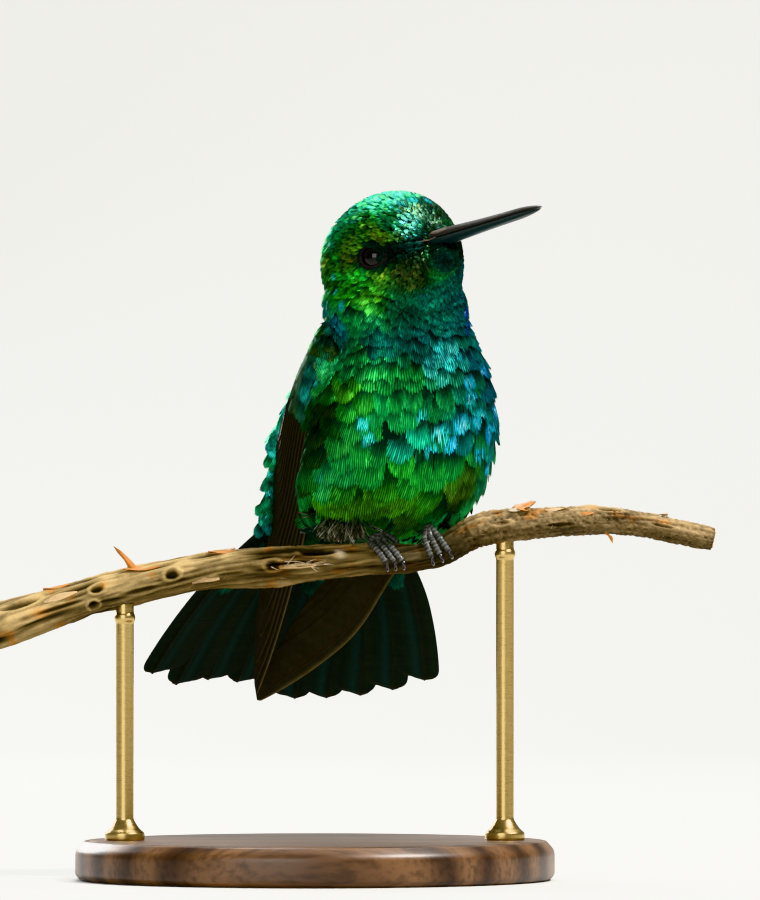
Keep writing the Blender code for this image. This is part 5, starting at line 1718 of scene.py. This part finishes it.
def tail_reach(to_side):
    """How far back the feather at that side goes."""
    radius = 31.0 - 1.5 * abs(to_side) ** 5 - 2.0 * max(0.0, 1 - ((to_side + 0.36) / 0.34) ** 2)
    slant = to_side * (FAN_ROOT / radius + FAN_OPENING - FAN_CURVE * radius * 0.9)
    return radius / math.sqrt(1 + slant**2)


def tail_feather(place, rank, flip):
    """One tail feather whose narrow vane faces outwards; rank 4 is the outermost and lowest."""
    share = np.linspace(0, 1, TAIL_ROWS)
    middle = (place + 0.5) / 5 * flip
    reach = mix(0.5, tail_reach(middle), share)[:, None]
    past = np.clip((share - 0.90) / 0.10, 0, 1)
    blunt = np.maximum(1 - past**3.2, 0.0) ** (1 / 2.4) * 0.97 + 0.03
    shape = blunt[:, None] * mix(0.15, 1.0, ease(0.0, 0.60, share))[:, None]
    outward = np.minimum(VANE_ACROSS, 0) * -1.55
    inward = np.maximum(VANE_ACROSS, 0) * 3.1
    quill = middle * tail_spread(reach) * mix(0.90, 1.0, share[:, None])
    lateral = quill + flip * (outward - inward)[None] * shape
    fray = dice.normal(0, 0.06, (1, len(VANE_ACROSS))) * ease(0.93, 1.0, share)[:, None]
    fray = fray * (np.abs(VANE_ACROSS) > 0.2)
    curve = 0.35 * (VANE_ACROSS**2)[None] * ease(0.90, 1.0, share)[:, None] ** 2
    to_side = np.clip(lateral / tail_spread(reach), -1.0, 1.0)
    height = 0.28 - 0.135 * rank + 0.02 * flip - 0.05 * QUILL_RISE[None] + 0.07 * VANE_ACROSS[None]
    points = tail_point(to_side, reach + fray - curve, height)
    shade = vane_shades(np.array((0.0062, 0.0082, 0.0042)), np.array((0.010, 0.018, 0.012)),
                        np.array((0.010, 0.009, 0.006)), TAIL_ROWS)
    shade = mix(shade, np.array((0.026, 0.020, 0.010)), (0.6 * ease(0.965, 1.0, share))[:, None, None])
    # Painted sheen: a teal line runs along each vane, a little way out from its shaft.
    painted_sheen_line = 0.5 * np.exp(-(((VANE_ACROSS - 0.30) / 0.16) ** 2))[None, :, None]
    shade = mix(shade, np.array((0.008, 0.026, 0.022)), painted_sheen_line)
    return leaf_shape(points, TAIL_TOP, 0.07, shade)


tail_shapes = [tail_feather(place, rank, flip) for flip in (-1, 1) for rank, place in enumerate(range(5))]
tail_piece = joined("tail_feathers", tail_shapes, tail_finish, sharp=60)
map_points(tail_piece, "vane", vane_places(len(tail_shapes), TAIL_ROWS, 30.0))
settle(tail_piece, "tail_feathers", "tail")

# %% [markdown]
# ## Coverts over and under the tail
# The tail's shafts are hidden above and below by long soft coverts. Each set grows on a sheet that follows
# the fan, and the sheets themselves aren't kept: they only tell the feathers where to lie.

# %% Tail coverts
def tail_sheet(up_by):
    """A finder for a sheet over (up_by above 0) or under the fan."""
    back_by, to_side = np.meshgrid(np.linspace(-3, 22, 30), np.linspace(-0.9, 0.9, 25), indexing="ij")
    swell = np.sign(up_by) * 0.9 * ease(9, -2, back_by) * (1 - to_side**2)
    faces = grid_faces(30, 25)
    points = tail_point(to_side, back_by, up_by + swell).reshape(-1, 3)
    sheet = make_piece("sheet", points, [faces if up_by > 0 else faces[:, ::-1]], skin_finish)
    found = bed_of(sheet.data)
    place, way = found(points[:1])
    if (way[0] @ TAIL_TOP) * up_by < 0:
        sheet.data.flip_normals()
        found = bed_of(sheet.data)
    bpy.data.objects.remove(sheet)
    return found


# Rows of tail coverts: how far back, feathers in the row, length.
UNDERTAIL_ROWS = [(0.5, 5, 6.0), (3.0, 5, 7.0), (5.5, 4, 7.5), (8.5, 3, 7.5)]
UPPERTAIL_ROWS = [(0.0, 7, 5.0), (2.2, 7, 5.5), (4.6, 6, 5.5), (6.8, 5, 5.5)]
for name, up_by, rows, colour in (
    ("undertail_coverts", -0.50, UNDERTAIL_ROWS, (0.006, 0.045, 0.022)),
    ("uppertail_coverts", 0.52, UPPERTAIL_ROWS, (0.008, 0.110, 0.080)),
):
    spots, sizes = [], []
    for back_by, count, length in rows:
        to_side = (np.arange(count) - (count - 1) / 2) / (count - 1) * 1.3
        spots.append(tail_point(to_side, back_by + dice.normal(0, 0.3, count), up_by))
        sizes.append(np.tile((length, 2.9), (count, 1)))
    spots, sizes = np.concatenate(spots), np.concatenate(sizes)
    from_root = spots - TAIL_ROOT
    ways = unit(TAIL_BACK - TAIL_RIGHT * (from_root @ -TAIL_RIGHT)[:, None] * 0.09)
    maps = np.stack([from_root @ TAIL_RIGHT * 0.02 + 0.5, from_root @ TAIL_BACK * 0.02 + 0.3], axis=1)
    own = np.tile(colour, (len(spots), 1)) * np.exp(dice.normal(0, 0.25, (len(spots), 1)))
    coverts = lay_feathers(name, spots, ways, sizes, (0.0, 0.30), maps, covert_plumage, own,
                           snap=tail_sheet(up_by), barbs=17, rows=14, painted_rim_shade=-0.8, painted_glint=0)
    settle(coverts, "teal_plumage")

# %% [markdown]
# ## Down at the legs, and loose bristles
# Pale downy tufts fill the gap between belly and feet. They are plumes with few, long barbs. A sprinkle of
# narrow, lifted feathers breaks up the outline, as the stray tips of a live bird's coat do.

# %% Down and bristles
# Each leg: x of its foot on the stem, how far the foot leans along it, and the hip.
LEGS = {"right": (7.2, 1.6, (3.6, 3.6, 35.8)), "left": (12.2, 0.3, (13.4, 3.8, 37.2))}
down_finish = plumage_finish("leg_down", 0.0, 0.85)
DOWN_COUNT, TUFT_COUNT, BRISTLE_COUNT = 420, 640, 120
points = read_points(skin_mesh)
near = np.min([np.linalg.norm((points - np.array(hip) - (0, -0.6, -0.6)) / (1.6, 1.2, 1.0), axis=1)
               for _, _, hip in LEGS.values()], axis=0)
order = dice.permutation(np.flatnonzero(near < 2.4))[:DOWN_COUNT]
tuft_x, tuft_z = dice.uniform(0.9, 4.2, TUFT_COUNT), dice.uniform(36.2, 37.3, TUFT_COUNT)
tufts = np.array([on_front(x, z) for x, z in zip(tuft_x, tuft_z)])
spots, ways_out = skin_bed(np.concatenate([points[order], tufts + dice.normal(0, 0.12, tufts.shape)]))
hanging = (np.arange(len(spots)) >= len(order))[:, None]
ways = mix(np.array((-0.25, -0.25, -0.9)), np.array((-0.12, 0.10, -1.0)), hanging)
ways = unit(ways + dice.normal(0, 0.20, (len(spots), 3)))
ways = unit(ways - ways_out * dot(ways, ways_out))
lengths = dice.uniform(1.4, 2.6, len(spots)) + 0.9 * hanging[:, 0]
sizes = np.stack([lengths, dice.uniform(0.06, 0.12, len(spots))], axis=1)
# Painted shade: the down is dark except at the front on the bird's right and on the hanging tufts, where it
# is pale; the dark stands for the shade under the belly.
pale = np.maximum(ease(6.0, 1.0, spots[:, 0])[:, None] * ease(1.5, -1.0, spots[:, 1])[:, None], hanging)
own = mix(np.array((0.022, 0.022, 0.014)), np.array((0.20, 0.19, 0.15)), pale)
own = own * np.exp(dice.normal(0, 0.35, (len(spots), 1)))
maps = np.stack([spots[:, 0] * 0.02 + 0.3, spots[:, 1] * 0.02 + 0.5], axis=1)
down = lay_feathers("leg_down", spots, ways, sizes, (0.0, mix(0.7, 1.35, hanging[:, 0])), maps,
                    down_finish, own, barbs=2, rows=8, ruffle=0.30, painted_rim_shade=-0.3, painted_glint=0)
settle(down, "green_plumage")

order = dice.permutation(np.flatnonzero(trunk_rows[:, 0] < 4.2))[:BRISTLE_COUNT]
spots, ways_out = skin_bed(trunk_roots[order])
ways = lie_at(spots, ways_out)
ways = unit(ways + np.cross(ways_out, ways) * dice.normal(0, 0.12, (len(spots), 1)))
sizes = np.tile((3.6, 0.18), (len(spots), 1))
bristles = lay_feathers("stray_bristles", spots, ways, sizes, (0.2, 0.85), front_map(spots), body_plumage,
                        plumage_colour(spots) * 0.7, barbs=2, rows=6, ruffle=0.15, painted_rim_shade=0.0, painted_glint=0)
settle(bristles, "green_plumage")

# %% [markdown]
# ## The stem
# The perch is a dry flower stem: twisted fibres, pits where leaves sat, one long hole, a torn split and a
# rough cut at each end. All of it is one grid of points round the stem's line. A patchy noise that is long
# one way makes the fibres, and each dent is a smooth dimple with a raised lip.

# %% Stem surface
STEM_LINE = np.array([
    (-32.5, -1.6, 25.2, 2.15), (-22.0, -0.8, 28.4, 1.80), (-11.0, -0.2, 30.8, 1.75), (-3.5, 0.0, 31.5, 1.90),
    (4.0, 0.0, 31.9, 1.50), (11.5, 0.0, 32.6, 1.30), (16.5, 0.2, 34.9, 1.60), (23.0, 0.6, 35.7, 1.45),
    (31.0, 1.2, 35.8, 1.28), (39.8, 2.0, 34.0, 1.12),
])
STEM_STEPS = np.linspace(0, len(STEM_LINE) - 1, 900)
STEM_X = smooth_through(STEM_LINE, STEM_STEPS)[:, 0]


def stem_frame(x):
    """(place, middle, radius, along, up, back) of the stem where its line crosses each x."""
    place = np.interp(x, STEM_X, STEM_STEPS)
    row = smooth_through(STEM_LINE, place)
    along = unit(way_through(STEM_LINE, place, 0.05)[..., :3])
    up = unit(UP - along * along[..., 2:])
    return place, row[..., :3], row[..., 3], along, up, np.cross(up, along)


def stem_point(x, turn, out=0.0, share=1.0):
    """Points round the stem: a turn of 90 degrees is its top, 180 its front, and out is from its bark."""
    x, turn, out = np.broadcast_arrays(np.asarray(x, float), turn, out)
    place, middle, radius, along, up, back = stem_frame(x)
    bump = 0.05 * np.sin(3 * turn + 2.3 * place) + 0.04 * np.sin(5 * turn - 3.1 * place)
    reach = (radius * (1 + bump) + out) * share
    return middle + (back * np.cos(turn)[..., None] + up * np.sin(turn)[..., None]) * reach[..., None]


def patchy(along, turn, cells_along, cells_round, seed):
    """Smooth noise from -1 to 1 over a length (0 to 1) and round a turn, which closes on itself."""
    grid = np.random.default_rng(seed).uniform(-1, 1, (cells_along + 2, cells_round))
    a = np.clip(along, 0, 1) * cells_along
    b = np.mod(turn / (2 * math.pi), 1.0) * cells_round
    i, j = a.astype(int), b.astype(int) % cells_round
    s, t = ease(0, 1, a - i), ease(0, 1, b - b.astype(int))
    k = (j + 1) % cells_round
    return mix(mix(grid[i, j], grid[i, k], t), mix(grid[i + 1, j], grid[i + 1, k], t), s)


# Dents: x, turn in degrees, half length and half width in millimetres, depth, height of the lip.
STEM_DENTS = [
    (-14.3, 168, 0.75, 0.50, 0.75, 0.20), (-21.7, 158, 0.70, 0.42, 0.60, 0.16),
    (-22.4, 205, 0.55, 0.40, 0.45, 0.22), (-29.5, 140, 2.20, 0.34, 0.42, 0.10),
    (0.4, 140, 1.75, 0.42, 0.80, 0.14), (-1.9, 176, 2.9, 0.26, 0.62, 0.16),
    (-4.2, 178, 0.8, 0.50, 0.60, 0.18), (-8.5, 196, 1.7, 0.22, 0.30, 0.08),
    (-17.6, 195, 1.9, 0.25, 0.34, 0.10), (-25.7, 182, 2.3, 0.24, 0.34, 0.10),
    (29.2, 120, 1.3, 0.45, 0.40, 0.20), (18.6, 165, 0.9, 0.30, 0.26, 0.10),
    (24.5, 190, 1.5, 0.25, 0.24, 0.10), (34.5, 170, 1.3, 0.25, 0.26, 0.10),
    (-12.0, 20, 1.2, 0.4, 0.5, 0.15), (3.0, 330, 1.8, 0.4, 0.5, 0.15),
    (22.0, 20, 1.3, 0.4, 0.4, 0.12), (-26.0, 300, 1.6, 0.4, 0.5, 0.15),
]
# Knobs: x, turn in degrees, size, rise.
STEM_KNOBS = [(2.6, 143, 0.55, 0.34), (6.6, 182, 0.60, 0.26), (-21.0, 140, 1.0, 0.22), (16.4, 120, 1.4, 0.16),
              (27.6, 95, 1.2, 0.20), (-13.0, 130, 1.1, 0.18), (-30.5, 200, 1.4, 0.20)]


def around_gap(turn, middle):
    """The shorter way round from one angle to another, in radians."""
    return np.mod(turn - np.radians(middle) + math.pi, 2 * math.pi) - math.pi


# %% The bark's relief
def stem_share(x):
    """How far along the stem each x lies, from 0 to 1."""
    return (x - STEM_LINE[0, 0]) / (STEM_LINE[-1, 0] - STEM_LINE[0, 0])


def stem_relief(x, turn):
    """(height of the bark in millimetres, depth of its dents) at each place."""
    share = stem_share(x)
    woody = ease(16.0, 9.0, x)
    twisted = turn + 0.42 * share * 2 * math.pi
    strands = patchy(share, twisted, 16, 34, 1) * 0.13 + patchy(share, twisted + 0.5, 34, 70, 2) * 0.095
    fine = patchy(share, twisted, 60, 120, 3) * 0.045
    ridged = -np.abs(patchy(share, twisted, 13, 22, 4)) * 0.24 + 0.09
    grains = patchy(share, turn, 260, 34, 5) * 0.075 + patchy(share, turn, 420, 60, 6) * 0.045
    lumps = patchy(share, turn, 15, 5, 7) * 0.10
    height = lumps + mix(grains + 0.5 * strands, strands + fine + ridged, woody)
    hollow = np.zeros_like(height)
    for at, angle, half, wide, deep, lip in STEM_DENTS:
        gap = np.hypot((x - at) / half, around_gap(turn, angle) * 1.7 / wide)
        hollow = hollow + deep * ease(1.0, 0.45, gap)
        height = height + lip * np.exp(-(((gap - 1.22) / 0.26) ** 2))
    for at, angle, size, rise in STEM_KNOBS:
        gap = np.hypot((x - at) / size, around_gap(turn, angle) * 1.7 / size)
        height = height + rise * np.exp(-(gap**2))
    return height - hollow, hollow


# %% Stem
ROWS, AROUND, END_RINGS = 640, 110, (0.86, 0.66, 0.42, 0.16)
rows_x = np.concatenate([np.full(len(END_RINGS), STEM_X[0]), np.linspace(STEM_X[0], STEM_X[-1], ROWS),
                         np.full(len(END_RINGS), STEM_X[-1])])
ring_share = np.concatenate([END_RINGS[::-1], np.ones(ROWS), END_RINGS])
x, turn = np.meshgrid(rows_x, full_turn(AROUND), indexing="ij")
height, hollow = stem_relief(x, turn)
height = height - 0.10 * ease(0.5, 0.0, x - STEM_X[0]) - 0.10 * ease(-0.5, 0.0, x - STEM_X[-1])
points = stem_point(x, turn, height, ring_share[:, None])
inner = (ring_share < 1)[:, None]
sawn = patchy(ring_share[:, None] + 0 * x, turn, 5, 26, 8)[..., None]
points = points + inner[..., None] * np.array((1.0, 0, 0)) * sawn * 0.22
tan, shadow_grey, warm = np.array([(0.190, 0.135, 0.060), (0.060, 0.046, 0.024), (0.150, 0.105, 0.052)])
# Painted shadow: under the bird the bark is darkened, where the bird's shadow falls.
painted_bird_shadow = (ease(4.2, 7.5, x) * ease(17.5, 13.5, x))[..., None]
shade = mix(mix(tan, warm, ease(12.0, 17.0, x)[..., None]), shadow_grey, painted_bird_shadow)
along_stem = stem_share(x)
tone = patchy(along_stem, turn, 30, 9, 9) * 0.22 + patchy(along_stem, turn, 110, 40, 10) * 0.16
# Painted shade and light: the bark is darker in its low places and lighter on its raised fibres.
painted_relief_shade = np.clip(1 + 6.0 * (height + hollow), 0.10, 2.1)
# Painted shade: the bark is darker on the stem's underside.
underside = mix(0.55, 1.08, ease(-0.55, 0.75, np.sin(turn)))
shade = shade * (painted_relief_shade * underside * np.exp(1.3 * tone))[..., None]
# Painted shade: the dents, the pits and the long hole among them are darkened with their depth.
shade = shade * mix(1.0, 0.10, np.clip(hollow / 0.45, 0, 1))[..., None]
orange = ease(0.50, 0.90, patchy(along_stem, turn + 1.0, 44, 12, 12))[..., None]
shade = mix(shade, shade * np.array((1.35, 0.80, 0.40)), 0.7 * orange)
pale_knot = np.exp(-(((x - 2.6) / 0.5) ** 2) - (around_gap(turn, 143) * 3.2) ** 2)[..., None]
shade = mix(shade, np.array((0.62, 0.52, 0.38)), 0.8 * pale_knot)
shade = mix(shade, np.array((0.36, 0.24, 0.13)) * np.exp(0.4 * sawn), inner[..., None] * 0.8)
bark = worn_finish("dry_stem_bark", 0.80, 4200, contrast=0.30, bump=0.5, specular=0.15)
stem_shape = points.reshape(-1, 3), tube_faces(len(rows_x), AROUND), shade.reshape(-1, 3)
stem = joined("flower_stem", [stem_shape], bark)
settle(stem, "dry_stem", "perch")

# %% [markdown]
# ## Torn fibres, flakes and bracts
# Loose things stand off the bark: hairs, torn strips in the split, flakes of dead skin and two dry bracts.
# Hairs and strips are thin spikes, the rest are thin curled leaves.

# %% Stem fibres
HAIR_COUNT, FINE_HAIR_COUNT, STRIP_COUNT = 330, 210, 16
hairs = []
for number in range(HAIR_COUNT):
    right_part = number < FINE_HAIR_COUNT
    at = dice.uniform(14.5, 39.5) if right_part else dice.uniform(-32, 13)
    angle = dice.uniform(0, 2 * math.pi)
    long = dice.uniform(0.22, 0.75) if right_part else dice.uniform(0.3, 1.1)
    share = np.linspace(0, 1, 5)
    lift = dice.uniform(0.2, 0.9) if right_part else dice.uniform(0.05, 0.3)
    swing = dice.normal(0, 0.35)
    along = long * share * (1 - 0.5 * lift) * np.sign(dice.normal())
    line = stem_point(at + along, angle + swing * share * 0.4, 0.02 + long * lift * share**1.5)
    tint = mix(np.array((0.16, 0.10, 0.05)), np.array((0.55, 0.42, 0.26)), dice.random())
    hairs.append(tube_shape(line, 0.022 * (1.05 - share), 3, tint))
for _ in range(STRIP_COUNT):
    share = np.linspace(0, 1, 9)
    at, angle = dice.uniform(-4.5, 0.6), math.radians(dice.uniform(168, 190))
    line = stem_point(at + dice.uniform(0.7, 1.9) * share, angle + 0.25 * dice.normal() * share,
                      -0.25 + 0.42 * np.sin(math.pi * share * 0.8))
    hairs.append(tube_shape(line, 0.05 * (1.02 - share) + 0.01, 5, np.array((0.60, 0.48, 0.32))))
settle(joined("stem_fibres", hairs, bark), "dry_stem")


# %% Bracts and flakes
def bract(x, height, lean, radius, start, colour, inside):
    """A dry curled bract that stands off the stem, leaning along it."""
    rows, columns = 34, 15
    share = np.linspace(0, 1, rows)
    _, middle, stem_radius, along, up, back = stem_frame(np.array(x))
    line = middle + up * (stem_radius * start + (height + stem_radius * (1.25 - start)) * share[:, None])
    line = line + along * (lean * share**1.5)[:, None]
    way = unit(np.gradient(line, axis=0))
    side = unit(np.cross(way, back))
    curl = np.linspace(-1, 1, columns) * math.radians(115)
    size = radius * np.interp(share, (0, 0.2, 0.5, 0.8, 1.0), (2.4, 1.25, 0.95, 0.62, 0.10))
    size = size[:, None] * (1 + 0.10 * np.sin(9 * share[:, None] + 3 * curl[None]))
    ring = side[:, None] * np.cos(curl)[None, :, None] + back * np.sin(curl)[None, :, None]
    top = line[:, None] + ring * size[..., None]
    grain = np.exp(dice.normal(0, 0.25, (1, columns, 1))) * mix(1.15, 0.45, share[:, None, None] ** 2)
    return leaf_shape(top, ring, 0.07, mix(colour, inside, 0.5 * (np.abs(curl) < 0.7)[None, :, None]) * grain)


def flake(x, length, turn, wide, lift, curl, colour):
    """A strip of dead bark that has come loose at one end and curls out."""
    rows, columns = 22, 9
    share = np.linspace(0, 1, rows)[:, None]
    across = np.linspace(-1, 1, columns)[None]
    taper = np.sin(math.pi * np.clip(0.12 + 0.82 * share, 0, 1)) ** 0.7
    out = 0.02 + lift * share**1.7 + curl * across * share + 0.05 * np.sin(7 * share + 2 * across)
    top = stem_point(x + length * share + 0 * across, math.radians(turn) + across * taper * wide / 3.4, out)
    ways = unit(top - stem_frame(x + length * share + 0 * across)[1])
    tint = colour * np.exp(dice.normal(0, 0.2, (1, columns, 1))) * mix(0.7, 1.2, share[..., None])
    return leaf_shape(top, ways, 0.05, tint)


rust, straw, shell = np.array((0.50, 0.20, 0.045)), np.array((0.48, 0.33, 0.17)), np.array((0.62, 0.50, 0.36))
bract_finish = worn_finish("dry_bract", 0.62, 3800, contrast=0.35, bump=0.4, specular=0.2)
first_bract = bract(-17.6, 2.2, -1.6, 0.42, 0.80, rust, straw)
second_bract = bract(21.0, 0.3, 1.3, 0.50, 0.92, rust, shell)
settle(joined("dry_bract_left", [first_bract], bract_finish), "dry_bract", "perch_bract_1")
settle(joined("dry_bract_right", [second_bract], bract_finish), "dry_bract", "perch_bract_2")
# Flakes: x, length, turn in degrees, width, lift, curl, colour.
FLAKES = [
    (-15.2, -3.6, 118, 0.8, 0.45, 0.12, rust), (-7.6, -2.8, 104, 0.9, 0.30, 0.14, rust),
    (-10.4, 2.6, 95, 0.7, 0.22, -0.1, straw), (19.4, 2.2, 112, 0.7, 0.40, 0.15, shell),
    (23.0, 2.4, 118, 0.6, 0.25, 0.10, straw), (29.0, 0.9, 262, 0.6, 0.75, 0.2, rust),
    (-27.0, 3.4, 150, 0.6, 0.16, 0.10, straw), (-3.6, 3.8, 186, 0.5, 0.18, -0.1, straw),
    (-24.0, -2.6, 112, 0.6, 0.25, 0.1, rust), (33.0, 2.0, 100, 0.5, 0.25, 0.1, straw),
    (26.2, 1.6, 150, 0.5, 0.2, 0.1, rust), (-12.5, 2.8, 205, 0.5, 0.2, 0.1, straw),
    (2.0, 2.6, 60, 0.6, 0.2, 0.1, straw), (-20.0, 2.5, 30, 0.6, 0.3, 0.1, straw),
    (25.0, 2.0, 300, 0.6, 0.3, 0.1, rust),
]
flakes = [flake(*row) for row in FLAKES]
settle(joined("bark_flakes", flakes, bract_finish), "dry_bract")

# %% [markdown]
# ## Feet
# Three toes grip the stem from the front and one from behind. Each is a tube with a raised scute every
# fraction of a millimetre and pads at its joints, and it ends in a strong curved claw.

# %% Legs, toes and claws
def round_stem(x, start, end, clear, count, lean):
    """Points that curl round the stem from one angle to another."""
    share = np.linspace(0, 1, count)
    _, middle, radius, along, up, back = stem_frame(x + lean * (share - 0.5))
    angle = np.radians(mix(start, end, share))[:, None]
    return middle + (up * np.sin(angle) + back * np.cos(angle)) * (radius * 1.09 + clear)[:, None]


def scaly_tube(line, radii, scute):
    """A toe or shank whose scutes step along it, paler on their crests."""
    steps = np.concatenate([[0], np.cumsum(np.linalg.norm(np.diff(line, axis=0), axis=1))])
    saw = np.mod(steps / scute, 1.0)
    bead = 0.03 * np.cos(5 * full_turn(TOE_SIDES))[None]
    radii = radii[:, None] * (1 + 0.075 * saw[:, None] ** 0.5 + bead)
    shade = mix(np.array((0.032, 0.032, 0.029)), np.array((0.140, 0.142, 0.130)), saw[:, None] ** 2)
    return tube_shape(line, radii, TOE_SIDES, shade)


TOE_SIDES = 14
TOE_RADIUS, TOE_SPREAD = 0.30, 0.80
# Sizes along a shank and a toe, with the toe's pads, and the claw's radii, each as (share, size) pairs.
SHANK_SIZES = ((0, 0.2, 0.6, 1), (0.44, 0.34, 0.34, 0.5))
TOE_SIZES = ((0, 0.1, 0.3, 0.42, 0.55, 0.68, 0.8, 0.92, 1), (1.2, 1, 0.95, 1.12, 0.9, 1.06, 0.88, 1.0, 0.62))
CLAW_SIZES = ((0, 0.15, 0.5, 0.85, 1), (0.16, 0.24, 0.19, 0.08, 0.02))
for side, (x, lean, hip) in LEGS.items():
    ankle = round_stem(x - lean / 2, 90, 90, 1.15, 2, 0)[0] + (0, 0.25, 0.30)
    share = np.linspace(0, 1, 60)
    shank_line = mix(ankle, np.array(hip) + (0, 0, 0.6), share[:, None])
    shank = scaly_tube(shank_line, np.interp(share, *SHANK_SIZES), 0.5)
    settle(joined(f"shank_{side}", [shank], scale_skin_finish), "foot_skin", f"leg_{side}")
    for number in range(4):
        front = number < 3
        at = x + ((number - 1) * TOE_SPREAD if front else 0.35)
        tilt = lean if front else -lean
        start, end = (112, 193) if front else (70, -10)
        curl = round_stem(at, start, end, 0.24, 90, tilt)
        knuckle = mix(ankle + (0, -0.05, -0.15), curl[0], np.linspace(0, 1, 14)[:, None])
        knuckle[:, 2] += 0.16 * np.sin(math.pi * np.linspace(0, 1, 14))
        line = np.concatenate([knuckle[:-1], curl])
        along = np.linspace(0, 1, len(line))
        toe = scaly_tube(line, TOE_RADIUS * np.interp(along, *TOE_SIZES), 0.36)
        digit = f"{side}_{number + 1}"
        settle(joined(f"scaled_toe_{digit}", [toe], scale_skin_finish), "foot_skin", f"toe_{digit}")
        turn_way = 1 if front else -1
        grip = np.linspace(0, 1, 26)
        tip_x = at + tilt / 2
        hook = round_stem(tip_x, end - turn_way * 6, end + turn_way * 34, 0.30, 26, 0.0)
        out = unit(hook - stem_frame(np.full(26, tip_x))[1])
        hook = hook + out * (0.34 * np.sin(math.pi * grip) - 0.30 * grip**3)[:, None]
        horn = mix(np.array((0.030, 0.026, 0.024)), np.array((0.006, 0.006, 0.006)), grip[:, None])
        claw = tube_shape(hook, np.interp(grip, *CLAW_SIZES), 12, horn)
        settle(joined(f"curved_claw_{digit}", [claw], claw_finish), "claw_horn", f"claw_{digit}")

# %% [markdown]
# ## The stand
# A plain stand holds the stem, as a museum would: a turned walnut base and two short brass rods, each with
# a collar. The wood's grain is a stretched wave, and the brass is brushed round by the noise of the horn.

# %% Walnut and brass
def walnut_finish():
    """Oiled wood: bent bands of grain and short dark pores."""
    made = plain_finish("oiled_walnut", (0.10, 0.05, 0.025), 0.38)
    links = made.node_tree.links
    drawn = add_node(made, "Mapping", Scale=(12.0, 110.0, 60.0))
    links.new(add_node(made, "TexCoord").outputs["Object"], drawn.inputs["Vector"])
    bands = add_node(made, "TexWave", Scale=0.55, Distortion=9.0, Detail=3.0)
    bands.bands_direction = "Y"
    pores = add_node(made, "TexNoise", Scale=22.0, Detail=6.0)
    for grain in (bands, pores):
        links.new(drawn.outputs["Vector"], grain.inputs["Vector"])
    tones = add_node(made, "ValToRGB")
    tones.color_ramp.elements[0].color = (0.040, 0.018, 0.008, 1)
    tones.color_ramp.elements[1].color = (0.150, 0.075, 0.034, 1)
    links.new(bands.outputs["Fac"], tones.inputs["Fac"])
    dark = ranged(made, pores.outputs["Fac"], 0.55, 1.0, From_Min=0.35, From_Max=0.55)
    colour_by(made, tones.outputs["Color"], dark)
    add_relief(made, pores.outputs["Fac"], 0.12)
    return made


def rounded(corners, radius, steps=6):
    """A profile whose inner corners are rounded."""
    corners = [np.array(c, float) for c in corners]
    made = [corners[0]]
    for before, corner, after in zip(corners, corners[1:], corners[2:]):
        size = min(radius, 0.45 * np.linalg.norm(before - corner), 0.45 * np.linalg.norm(after - corner))
        a, b = corner + unit(before - corner) * size, corner + unit(after - corner) * size
        for t in np.linspace(0, 1, steps):
            made.append(mix(mix(a, corner, t), mix(corner, b, t), t))
    return np.array(made + [corners[-1]])


AXIS_GAP = 0.05  # radius at which a turned profile ends, next to its axis
BASE_RADIUS, BASE_HEIGHT = 24.0, 4.0
ROD_PLACES, ROD_RADIUS, COLLAR_RADIUS = (-19.0, 19.0), 0.9, 1.05
base_profile = rounded([(AXIS_GAP, 0), (23.4, 0), (BASE_RADIUS, 0.5), (BASE_RADIUS, 3.0), (23.1, BASE_HEIGHT),
                        (22.6, 3.86), (22.3, BASE_HEIGHT), (AXIS_GAP, BASE_HEIGHT)], 0.5)
base = lathe_shape(base_profile, 160, (0, 0, 0), (0, 0, 1), np.array((0.1, 0.05, 0.025)))
settle(joined("stand_walnut_base", [base], walnut_finish(), sharp=50), "stand_wood", "stand_base")
brass = worn_finish("brushed_brass", 0.30, 900, stretch=(1.0, 1.0, 9.0), contrast=0.10, bump=0.04,
                    metallic=1.0)
for number, x in enumerate(ROD_PLACES, start=1):
    _, middle, radius, _, _, _ = stem_frame(np.array(x))
    top = middle[2] - radius * 0.80
    foot = [(AXIS_GAP, BASE_HEIGHT), (2.0, BASE_HEIGHT), (2.0, 4.75), (1.55, 5.1), (1.25, 5.5),
            (ROD_RADIUS, 6.1)]
    collar = [(ROD_RADIUS, top - 2.0), (COLLAR_RADIUS, top - 1.7), (COLLAR_RADIUS, top - 1.3),
              (ROD_RADIUS, top - 1.0)]
    profile = rounded(foot + collar + [(ROD_RADIUS, top), (AXIS_GAP, top)], 0.18, 5)
    rod = lathe_shape(profile, 48, (x, middle[1], 0), (0, 0, 1), np.array((0.47, 0.34, 0.14)))
    settle(joined(f"stand_brass_rod_{number}", [rod], brass, sharp=50), "stand_brass", f"stand_rod_{number}")


# %% [markdown]
# ## The sizes of solids and dressed bird
# The boxes of the solids and of the dressed bird are printed side by side. The dressed
# bird has to fill the same box as its solids.

# %% Sizes and finish
dressed_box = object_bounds()
sizes = {"solid": [list(corner) for corner in solid_box], "dressed": [list(corner) for corner in dressed_box]}
for axis in range(3):
    print("xyz"[axis], [round(box[k][axis] * 1000, 2) for box in (solid_box, dressed_box) for k in (0, 1)])
